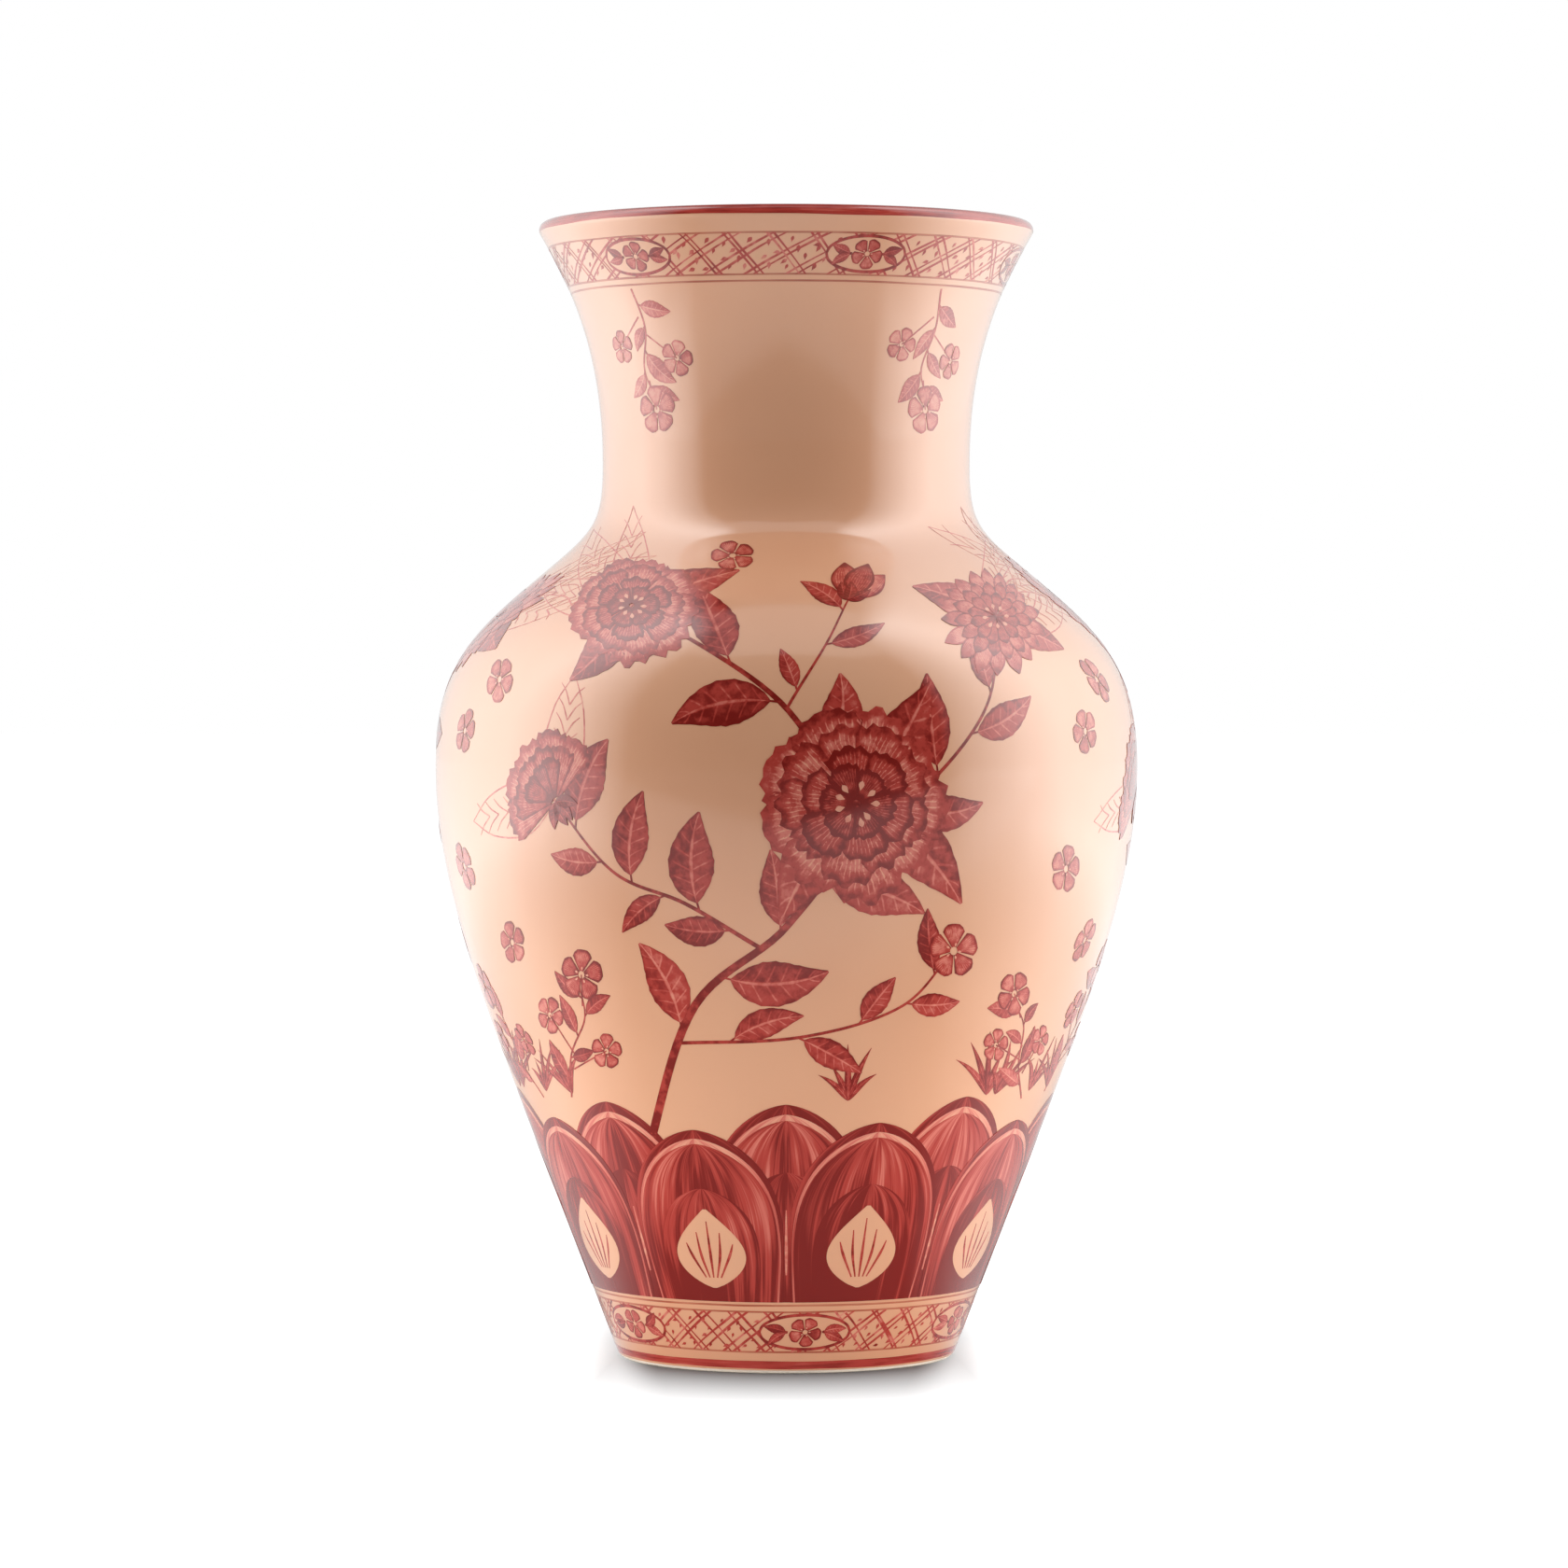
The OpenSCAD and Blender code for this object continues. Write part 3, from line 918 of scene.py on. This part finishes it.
class Picture:
    """Brush marks gathered by kind, ready to be laid on the glaze."""

    def __init__(self, vase):
        self.vase = vase
        self.line = vase.line
        self.marks = {}

    def add(self, marks, turn, s):
        """Takes flat marks to a place round the vase and along its line."""
        for kind, flat, tone, layer in marks:
            up = s + flat[..., 1]
            self.add_wrapped(kind, turn + flat[..., 0] / self.line.radius(up), up, tone, layer)

    def add_wrapped(self, kind, turn, s, tone, layer):
        """Takes a mark that is already given as turns and lengths along the line."""
        self.marks.setdefault(kind, []).append((turn, s, tone, layer))

    def lay(self, kind, name, material):
        """Makes one thin coat from all the marks of a kind."""
        turns, places, tones, layers = zip(*self.marks[kind])
        paint = self.vase.paint
        along, across = GRIDS[kind]
        start_clean()
        bpy.ops.mesh.primitive_grid_add(x_subdivisions=along - 1, y_subdivisions=across - 1, size=2)
        piece = bpy.context.object
        flat = np.array([vertex.co[:2] for vertex in piece.data.vertices])
        column = np.rint((flat[:, 0] + 1) / 2 * (along - 1)).astype(int)
        row = np.rint((flat[:, 1] + 1) / 2 * (across - 1)).astype(int)
        copies = piece.modifiers.new("copies", "ARRAY")
        copies.count = len(turns)
        bpy.ops.object.modifier_apply(modifier=copies.name)
        turn = np.concatenate([each[column, row] for each in turns])
        s = np.concatenate([each[column, row] for each in places])
        layer = np.repeat(layers, len(flat))
        under = self.line.wrap(turn, s, paint.lift)
        over = self.line.wrap(turn, s, paint.lift + paint.coat + paint.layer * layer)
        keep_tone(piece, np.repeat(tones, len(flat)))
        move(piece, under)
        coat = piece.modifiers.new("coat", "SOLIDIFY")
        coat.thickness = paint.coat
        coat.offset = 1
        bpy.ops.object.modifier_apply(modifier=coat.name)
        move(piece, np.concatenate([over, under]))
        bpy.ops.object.shade_smooth_by_angle(angle=SMOOTH_ANGLE)
        hand_over(piece, name, material, "enamel")


# Fired paints


UNDER_GLOSS = 0.04


def enamel_tint(mix, colours, value):
    """The paint from a pale wash to its darkest, by a value that runs from below 0 to 1."""
    tint = mix.blend(mix.between(value, -0.35, 0.15), colours.pale, colours.light)
    tint = mix.blend(mix.between(value, 0.1, 0.5), tint, colours.middle)
    return mix.blend(mix.between(value, 0.5, 1.0), tint, colours.dark)


def enamel(name, vase, pattern):
    """A fired paint whose depth of colour comes from a pattern."""
    mix = Recipe(name)
    gloss = vase.glaze.body_gloss
    value = mix.read("tone") + pattern(mix, mix.place())
    mix.glaze_over(vase.glaze.gloss, UNDER_GLOSS)
    return mix.finish(enamel_tint(mix, vase.paint, value), mix.between(value, 0.0, 1.0, gloss, gloss * 0.8))


def line_enamel(vase):
    """The brown paint of the lines that edge the borders, thick and thin by turns."""
    mix = Recipe("line_enamel")
    value = mix.read("tone") + band_pattern(mix, mix.place())
    mix.glaze_over(vase.glaze.gloss, UNDER_GLOSS)
    tint = mix.blend(mix.between(value, 0.2, 0.8), vase.paint.line_pale, vase.paint.line)
    return mix.finish(tint, vase.glaze.body_gloss)


def wash(mix, where, scale):
    """Soft clouds of thicker and thinner paint."""
    return mix.between(mix.noise(where, scale, detail=3, roughness=0.6), 0.3, 0.7, -0.2, 0.2)


def petal_pattern(mix, where):
    """Darker rim and root, a lighter middle and fine pale lines along the petal."""
    along, across = mix.strip()
    rim = mix.most(mix.between(abs(across), 0.6, 1.0), mix.between(along, 0.74, 1.0))
    root = mix.between(along, 0.0, 0.4, 0.2, 0.0)
    lines = mix.sum("SINE", across * 36.0 + mix.noise(where, scale=260) * 7.0)
    inside = mix.between(along, 0.1, 0.35) * mix.between(rim, 0.2, 0.9, 1.0, 0.0)
    broken = mix.between(mix.noise(where, scale=1100), 0.36, 0.52)
    hair = mix.between(lines, 0.55, 0.95) * inside * broken
    return wash(mix, where, 420) + root + rim * 0.36 - inside * 0.18 - hair * 0.46


def leaf_pattern(mix, where):
    """One half deeper than the other, with a pale midrib and side veins."""
    along, across = mix.strip()
    aside = abs(across)
    half = mix.between(across, -0.2, 0.2, -0.08, 0.12)
    rim = mix.between(aside, 0.65, 1.0, 0.0, 0.2)
    rib = mix.between(aside, 0.03, 0.12, 0.5, 0.0)
    step = mix.sum("FRACT", along * 7.0 - aside * 0.9)
    vein = mix.between(abs(step - 0.5), 0.02, 0.12, 0.32, 0.0) * mix.between(aside, 0.65, 0.9, 1.0, 0.0)
    return wash(mix, where, 380) + half + rim - mix.most(rib, vein)


def upright_pattern(mix, _):
    """Long streaks that run up the mark, deepest at its root."""
    along, across = mix.strip()
    own = mix.read("tone") * 90.0
    depth = mix.between(along, 0.0, 0.55, 0.3, 0.0)
    for fine, long, amount in ((3.0, 1.1, 0.3), (9.0, 1.6, 0.22), (34.0, 2.2, 0.16)):
        drawn = mix.node("ShaderNodeCombineXYZ", {"X": across * fine, "Y": along * long, "Z": own})
        streak = mix.noise(drawn.outputs["Vector"], scale=1, roughness=0.55)
        depth = depth + mix.between(streak, 0.3, 0.7, -amount, amount)
    return depth


def stroke_pattern(mix, where):
    """Paint that runs thick and thin along the stroke."""
    return mix.between(mix.noise(where, scale=300, detail=3, roughness=0.6), 0.28, 0.72, -0.3, 0.3)


def band_pattern(mix, where):
    """Streaks that run round the vase, with slow pools of thicker paint."""
    drawn = mix.node("ShaderNodeVectorMath", {0: where, 1: (70, 70, 1400)}, operation="MULTIPLY")
    streak = mix.noise(drawn.outputs["Vector"], scale=1, detail=4, roughness=0.62)
    pool = mix.noise(where, scale=60)
    return mix.between(streak, 0.28, 0.72, -0.26, 0.26) + mix.between(pool, 0.35, 0.65, -0.1, 0.1)


PATTERNS = {"petal": petal_pattern, "leaf": leaf_pattern, "stroke": stroke_pattern,
            "upright": upright_pattern, "band": band_pattern}
MARKS = {"petal": ("petal", "petals"), "floret": ("petal", "small_petals"),
         "petal_blade": ("petal", "long_petals"), "leaf": ("leaf", "leaves"), "stroke": ("stroke", "strokes"),
         "branch": ("stroke", "stems"), "seed": ("stroke", "dots"), "lappet": ("upright", "panels"),
         "reserve": ("ground", "reserves")}


def enamels(vase):
    """The fired paints, made when they are first asked for."""
    found = {}
    for kind, pattern in PATTERNS.items():
        name = kind + "_enamel"
        found[kind] = bpy.data.materials.get(name) or enamel(name, vase, pattern)
    return found


def lay_all(picture, prefix):
    """Lays every kind of mark in a picture as a piece of its own."""
    paints = enamels(picture.vase)
    paints["ground"] = bpy.data.objects["ground_glaze_body"].data.materials[0]
    for kind in picture.marks:
        paint, label = MARKS[kind]
        picture.lay(kind, prefix + "_" + label, paints[paint])


# Painting the vase


SEEDS = {"bands": 11, "borders": 23, "lappets": 37, "garden": 53, "sprigs": 71}
RING_ROW = 0.35 * MM
BAND_GAP = 0.5 * MM
BORDER_GAP = 1 * MM
TRELLIS_PAIRS = 34
RESERVES = 6
BRANCHES = 3
SPRAYS = 4
SPRAY_REACH = 31 * MM


def unsteady(rng, turn, size):
    """A slow wander round the vase, as of a hand on a turning wheel."""
    total = np.zeros_like(turn)
    for rate in (2, 3, 5, 9, 14):
        total += math.sqrt(1 / rate) * np.sin(rate * turn + rng.uniform(0, math.tau))
    return size * total / 1.6


def ring_stroke(vase, rng, low, high, tone=0.6):
    """A painted ring between two lengths along the line, its place and width a little unsteady."""
    line, paint = vase.line, vase.paint
    across = np.linspace(low, high, max(3, int((high - low) / RING_ROW) + 1))
    s = np.concatenate([across, across[::-1]])
    lift = paint.lift + paint.coat * np.repeat([1.0, 0.0], len(across))
    outline = np.stack(line.point(s, lift), 1)
    piece = turned(outline, vase.shape.segments)
    points = np.array([vertex.co for vertex in piece.data.vertices])
    turn = np.arctan2(points[:, 0], -points[:, 1])
    flat = np.stack([np.hypot(points[:, 0], points[:, 1]), points[:, 2]], 1)
    nearest = np.argmin(np.linalg.norm(flat[:, None] - outline[None], axis=2), axis=1)
    off = s[nearest] - (low + high) / 2
    shift = unsteady(rng, turn, paint.wander) + off * unsteady(rng, turn, 0.1)
    keep_tone(piece, tone + unsteady(rng, turn, 0.07))
    move(piece, line.wrap(turn, s[nearest] + shift, lift[nearest]))
    return piece


def joined(pieces):
    """Several pieces as one."""
    start_clean()
    for piece in pieces:
        piece.select_set(True)
    bpy.context.view_layer.objects.active = pieces[0]
    bpy.ops.object.join()
    return pieces[0]


class VASE_OT_bands(Step, bpy.types.Operator):
    """Paints the rim, the foot and the lines that edge the borders."""

    bl_idname = "vase.bands"
    bl_label = "Painted rings"

    def build(self, vase):
        line, paint = vase.line, vase.paint
        rng = np.random.default_rng(SEEDS["bands"])
        brown = line_enamel(vase)
        band = enamels(vase)["band"]
        over = line.crown_s + line.lip_r * paint.rim_over
        rim = ring_stroke(vase, rng, line.s_at(line.height - paint.rim_h), over)
        hand_over(rim, "rim_band_enamel", band, "enamel", "rim_band")
        low = line.s_at(line.glaze_z + BAND_GAP)
        foot = ring_stroke(vase, rng, low, low + paint.foot_band_w)
        hand_over(foot, "foot_band_enamel", band, "enamel", "foot_band")
        mouth_lines = (vase.mouth_low - paint.line_step, vase.mouth_low, vase.mouth_top)
        foot_lines = (vase.foot_low, vase.foot_top, vase.foot_top + paint.line_step)
        half = paint.line_w / 2
        for name, heights in (("mouth_border_lines", mouth_lines), ("foot_border_lines", foot_lines)):
            rings = [ring_stroke(vase, rng, s - half, s + half, 0.5) for s in map(line.s_at, heights)]
            hand_over(joined(rings), name + "_enamel", brown, "enamel", name)


def trellis(picture, rng, low, high, lean_right, lean_left):
    """Pairs of crossing lines round the vase, with seeds in the cells between them."""
    paint = picture.vase.paint
    radius = picture.line.radius((low + high) / 2)
    pitch = math.tau * radius / TRELLIS_PAIRS
    rise = high - low
    u, v = grid("stroke")
    for lean in (lean_right, -lean_left):
        slant = math.hypot(lean, rise) / rise
        for k in range(TRELLIS_PAIRS):
            for side in (-0.5, 0.5):
                start = k * pitch + side * paint.trellis_gap * slant + rng.normal(0, 0.2 * MM)
                bow = rng.normal(0, 0.15 * MM) * np.sin(math.pi * u)
                wave = rng.normal(0, 0.1 * MM) * np.sin(math.tau * u)
                half = paint.trellis_w / 2 * slant * (1 + 0.25 * np.sin(rng.uniform(0, 6) + 4 * u))
                flat = start + lean * (u - 0.5) + (bow + wave) - v * half
                picture.add_wrapped("stroke", flat / radius, low + rise * u, 0.42 + rng.normal(0, 0.1), 0)
    for i in range(TRELLIS_PAIRS):
        for j in range(-3, 4):
            for across, up in ((-0.2, 0), (0.2, 0), (0, -0.2), (0, 0.2)):
                a = (i + 0.5 + across + up) * pitch
                b = (i + j + 0.5 - across + up) * pitch
                share_up = 0.5 + (b - a) / (lean_right + lean_left)
                x = a + lean_right * (share_up - 0.5)
                if not 0.06 < share_up < 0.8 or rng.uniform() < 0.06:
                    continue
                size = pitch * rng.uniform(0.15, 0.2)
                drop = blade("seed", size, size * rng.uniform(0.23, 0.28), 0.62)
                marks = placed([("seed", drop, 0.45 + rng.normal(0, 0.12), 0)], way=rng.uniform(0.2, 1.5))
                picture.add(marks, (x + rng.normal(0, 0.25 * MM)) / radius,
                            low + rise * share_up + rng.normal(0, 0.2 * MM))


def oval(half_wide, half_high):
    """A flat oval."""
    u, v = grid("reserve")
    along = 2 * u - 1
    wide = half_wide * along * np.sqrt(1 - v * v / 2)
    high = half_high * v * np.sqrt(1 - along * along / 2)
    return np.stack([wide, high], -1)


def reserve(rng, half_wide, half_high):
    """A plain oval left in a border, edged by a line, with a rosette and two pairs of leaves in it."""
    marks = [("reserve", oval(half_wide, half_high), 0, 2)]
    for start in (0, math.pi):
        edge = arc((0, 0), (half_wide, half_high), start, start + math.pi, 9)
        marks.append(line_mark(edge, [0.7, 0.9, 0.7], 0.7, 4, "branch"))
    marks += placed(blossom(rng, half_high * 1.75), layer=5)
    for way in (0, math.pi):
        for tilt in (-0.35, 0.35):
            out = 0.38 * half_wide * math.cos(way)
            marks += placed(leaf(rng, half_wide * 0.5, 0.7), out, way=way + tilt, layer=4)
    return marks


class VASE_OT_borders(Step, bpy.types.Operator):
    """Paints the trellis borders at the mouth and the foot, with their oval reserves."""

    bl_idname = "vase.borders"
    bl_label = "Trellis borders"

    def build(self, vase):
        rng = np.random.default_rng(SEEDS["borders"])
        for name, low_z, high_z, lean_right, lean_left, half_wide, first in (
            ("mouth_border", vase.mouth_low, vase.mouth_top, 20 * MM, 8.4 * MM, 11 * MM, 0.35),
            ("foot_border", vase.foot_low, vase.foot_top, 14 * MM, 9 * MM, 12 * MM, 0.1),
        ):
            low, high = vase.line.s_at(low_z), vase.line.s_at(high_z)
            picture = Picture(vase)
            trellis(picture, rng, low, high, lean_right, lean_left)
            for k in range(RESERVES):
                oval_marks = reserve(rng, half_wide, (high - low) * 0.43)
                picture.add(oval_marks, first + k * math.tau / RESERVES, (low + high) / 2)
            lay_all(picture, name)


def lappet(reach, half, size, tone, layer):
    """An upright petal with a pointed tip, sized from the middle of its root."""
    u, v = grid("lappet")
    up = np.sin(u * math.pi / 2)
    width = half * (0.84 + 0.42 * up) * np.maximum(1 - up ** 3.2, 0.0005) ** 0.62
    return ("lappet", size * np.stack([up * reach, v * width], -1), tone, layer)


class VASE_OT_lappets(Step, bpy.types.Operator):
    """Paints the band of dark upright petals above the foot border."""

    bl_idname = "vase.lappets"
    bl_label = "Petal band"

    def build(self, vase):
        rng = np.random.default_rng(SEEDS["lappets"])
        low = vase.line.s_at(vase.foot_top + vase.paint.line_step + BORDER_GAP)
        reach = vase.line.s_at(vase.paint.lappet_top) - low
        count = vase.paint.lappets
        half = math.pi / count * vase.line.radius(low) * 1.13
        picture = Picture(vase)
        for k in range(2 * count):
            front = k % 2
            size = reach * (0.94 if front else 1.04) * rng.uniform(0.97, 1.03)
            base = 12 * front
            marks = [lappet(size, half, 1.0, 0.95, base), lappet(size, half, 0.95, -0.1, base + 2),
                     lappet(size, half, 0.92, 0.6 + rng.normal(0, 0.06), base + 4),
                     lappet(size, half, 0.66, 0.85 + rng.normal(0, 0.06), base + 6)]
            if front:
                drop = blade("reserve", size * 0.46, half * 0.46, 0.42)
                marks.append(("reserve", drop + (size * 0.08, 0), 0, base + 8))
            for way in np.linspace(-0.5, 0.5, 5):
                vein = [(0.14, way * 0.2), (0.27, way * 0.5), (0.47 - 0.26 * abs(way), way * 0.62)]
                vein = np.array(vein) * (size, half)
                marks.append(line_mark(vein, [0.4, 0.8, 0.3], 0.6 * front, base + 10))
            picture.add(placed(marks, way=math.pi / 2), math.pi * k / count, low)
        lay_all(picture, "petal_band")


class VASE_OT_garden(Step, bpy.types.Operator):
    """Paints the flowering branches round the body."""

    bl_idname = "vase.garden"
    bl_label = "Flowering branches"

    def build(self, vase):
        picture = Picture(vase)
        for k in range(BRANCHES):
            rng = np.random.default_rng(SEEDS["garden"] + k)
            picture.add(garden(rng), k * math.tau / BRANCHES, vase.line.s_at(vase.shape.belly_z))
        lay_all(picture, "branches")


class VASE_OT_sprigs(Step, bpy.types.Operator):
    """Paints the small sprays that hang on the neck below the mouth border."""

    bl_idname = "vase.sprigs"
    bl_label = "Neck sprays"

    def build(self, vase):
        top = vase.line.s_at(vase.mouth_low - vase.paint.line_step - BORDER_GAP)
        picture = Picture(vase)
        for k in range(SPRAYS):
            rng = np.random.default_rng(SEEDS["sprigs"] + k)
            spray = placed(sprig(rng, SPRAY_REACH), way=-math.pi / 2, deeper=-0.25)
            picture.add(spray, math.tau * (k + 0.5) / SPRAYS, top)
        lay_all(picture, "neck_sprays")


# The studio


SENSOR_MM = 36
FLOOR_SIZE = 30
WHITE = (1, 1, 1)
SHINE = ((0.62, 0.0), (0.5, 0.3), (0.3, 0.6), (0.1, 0.88), (-0.2, 1.0), (-0.55, 0.68), (-1.0, 0.24))
LIGHT = ((1.0, 0.0), (0.5, 0.28), (0.0, 0.44), (-0.5, 0.2), (-1.0, 0.0))


def glow(nodes, ahead, stops):
    """How brightly the surroundings shine, by how far ahead they lie: from 1 at the camera to -1 behind."""
    made = nodes.node("ShaderNodeValToRGB", {"Fac": ahead * -0.5 + 0.5})
    ramp = made.color_ramp
    for place, _ in stops[2:]:
        ramp.elements.new(0.5 - 0.5 * place)
    for element, (place, level) in zip(ramp.elements, stops):
        element.position = 0.5 - 0.5 * place
        element.color = (level, level, level, 1)
    return Value(nodes, made.outputs["Color"])


def painted_foot_shadow(mix, beside, front, vase):
    """A painted soft shadow round the foot, by how far from it the floor looks from the camera."""
    foot_r = vase.shape.foot_d / 2
    flat = vase.studio.eye / vase.studio.distance
    ahead = mix.most(front, 0.0)
    away = mix.hypot(beside, ahead)
    across = mix.hypot(beside, ahead / flat)
    gap = mix.most((away - foot_r) * away / across, beside - foot_r)
    painted_cast = mix.between(gap, 0.0001, 0.0083, 1.0, 0.0, "LINEAR")
    outer = mix.between(gap * 0.8 + beside, foot_r * 0.75, foot_r * 1.06, 1.0, 0.46)
    return painted_cast * outer * mix.between(front, -0.13, -0.03)


def set_camera(studio):
    """A level camera in front of the vase, with a shift of the frame."""
    start_clean()
    bpy.ops.object.camera_add(location=(0, -studio.distance, studio.eye), rotation=(math.pi / 2, 0, 0))
    camera = bpy.context.object
    camera.name = "photo_camera"
    camera.data.sensor_width = SENSOR_MM
    camera.data.lens = studio.lens
    camera.data.shift_x = studio.frame_side
    camera.data.shift_y = studio.frame_up
    bpy.context.scene.camera = camera


def white_floor(vase):
    """White to the camera but for a painted shadow at the foot; in the glaze a painted reflection, dark in
    front and glowing of its own beside the vase.
    """
    mix = Recipe("white_floor")
    glossy, seen = mix.rays()
    where = mix.place()
    x, y, _ = mix.split(where)
    beside, front = abs(x), -y
    away = mix.number("ShaderNodeVectorMath", "Value", {0: where}, operation="LENGTH")
    # Painted shade: the floor's colour is dark in front beyond half a metre and, in the glaze only, darker
    # close in front, standing for the dark room on the camera's side; the camera sees it dimmed.
    shade = mix.between(front - beside * 0.5, 0.5, 0.8, 0.86, 0.2)
    close = mix.between(front, 0.16, 0.28, 0.83, 0.0)
    shade = shade * (1.0 - mix.most(glossy * close, seen * 0.75))
    # Painted shadow: the camera sees the floor's own white glow, dimmed round the foot.
    shown = (1.0 - painted_foot_shadow(mix, beside, front, vase)) * seen
    # Painted reflection: the floor glows only in the glaze, brighter beside the vase and further from it.
    painted_glow = mix.between(away, 0.02, 0.9, vase.studio.side_glow * 0.2, vase.studio.side_glow)
    mirrored = glow(mix, front / mix.most(away, 0.01), SHINE) * painted_glow * glossy
    mix.fill(mix.shader, {"Specular IOR Level": 0.0, "Emission Color": WHITE,
                          "Emission Strength": mix.most(shown, mirrored)})
    return mix.finish(shade, 0.8)


def set_surroundings(studio):
    """White to the camera, a soft light on the vase, and bright sides and a bright top in the glaze."""
    world = bpy.data.worlds.new("white_surroundings")
    bpy.context.scene.world = world
    world.use_nodes = True
    sky = Nodes(world.node_tree)
    glossy, seen = sky.rays()
    x, y, z = sky.split(sky.node("ShaderNodeTexCoord").outputs["Generated"])
    ahead = -y / sky.most(sky.hypot(x, y), 0.05)
    open_top = sky.most(sky.between(z, 0.5, 0.78, 1.0, 0.0), sky.between(abs(x), 0.2, 0.36))
    sides = glow(sky, ahead, SHINE) * open_top * studio.side_glow
    top = sky.between(z, 0.84, 0.9) * sky.between(y, -0.46, -0.38)
    top = top * sky.between(y, 0.06, 0.12, studio.top_glow, 0.0)
    mirrored = sky.most(sides, top) * glossy
    plain = glow(sky, ahead, LIGHT) * studio.ambient * (1.0 - glossy)
    back = sky.tree.nodes["Background"]
    sky.fill(back, {"Color": WHITE, "Strength": sky.most(seen, mirrored + plain)})


def soft_lamp(name, power, place, aim, size, spread=180):
    """A soft rectangular lamp that faces a point, itself seen neither directly nor in the glaze."""
    start_clean()
    bpy.ops.object.light_add(type="AREA", location=place)
    lamp = bpy.context.object
    lamp.name = name
    lamp.data.shape = "RECTANGLE"
    lamp.data.size, lamp.data.size_y = size
    lamp.data.energy = power
    lamp.data.spread = math.radians(spread)
    lamp.visible_camera = False
    lamp.visible_glossy = False
    away = lamp.location - Vector(aim)
    lamp.rotation_euler = away.to_track_quat("Z", "Y").to_euler()


class VASE_OT_studio(Step, bpy.types.Operator):
    """Sets the camera, the white floor and surroundings and the soft lamps."""

    bl_idname = "vase.studio"
    bl_label = "Studio"

    def build(self, vase):
        studio = vase.studio
        bpy.context.scene.view_settings.view_transform = "Standard"
        set_camera(studio)
        start_clean()
        bpy.ops.mesh.primitive_plane_add(size=FLOOR_SIZE)
        floor = bpy.context.object
        floor.name = "studio_floor"
        floor.data.materials.append(white_floor(vase))
        set_surroundings(studio)
        for name, side in (("left", -1), ("right", 1)):
            soft_lamp(name + "_neck_lamp", studio.neck_power, place=(side * 0.19, -0.095, 0.26),
                      aim=(0, 0, 0.27), size=(0.1, 0.2))
            soft_lamp(name + "_low_lamp", studio.low_power, place=(side * 0.3, -0.12, 0.06),
                      aim=(0, 0, 0.05), size=(0.3, 0.06), spread=56)
        soft_lamp("flare_lamp", studio.flare_power, place=(0, -0.5, 0.02), aim=(0, 0, 0.33),
                  size=(0.3, 0.02), spread=10)
        soft_lamp("overhead_lamp", studio.top_power, place=(0, -0.5, 1.2), aim=(0, 0, vase.shape.belly_z),
                  size=(1.2, 1.0))


class VASE_PT_panel(bpy.types.Panel):
    """Lists the pieces of the vase."""

    bl_idname = "VASE_PT_panel"
    bl_label = "Porcelain vase"
    bl_space_type = "VIEW_3D"
    bl_region_type = "UI"
    bl_category = "Vase"

    def draw(self, context):
        for operator in OPERATORS:
            self.layout.operator(operator.bl_idname)


GROUPS = {"vase_shape": VaseShape, "vase_glaze": VaseGlaze, "vase_enamel": VaseEnamel,
          "vase_studio": VaseStudio}
OPERATORS = (VASE_OT_body, VASE_OT_bands, VASE_OT_borders, VASE_OT_lappets, VASE_OT_garden, VASE_OT_sprigs,
             VASE_OT_studio)


def register():
    """Registers the settings, the operators and the panel."""
    for name, group in GROUPS.items():
        bpy.utils.register_class(group)
        setattr(bpy.types.Scene, name, PointerProperty(type=group))
    for kind in (*OPERATORS, VASE_PT_panel):
        bpy.utils.register_class(kind)


def unregister():
    """Takes away what register added."""
    for kind in (VASE_PT_panel, *reversed(OPERATORS)):
        bpy.utils.unregister_class(kind)
    for name, group in GROUPS.items():
        delattr(bpy.types.Scene, name)
        bpy.utils.unregister_class(group)


def main():
    """Builds the vase and its studio."""
    register()
    bpy.ops.vase.body()
    bpy.ops.vase.bands()
    bpy.ops.vase.borders()
    bpy.ops.vase.lappets()
    bpy.ops.vase.garden()
    bpy.ops.vase.sprigs()
    bpy.ops.vase.studio()


if __name__ == "__main__":
    main()
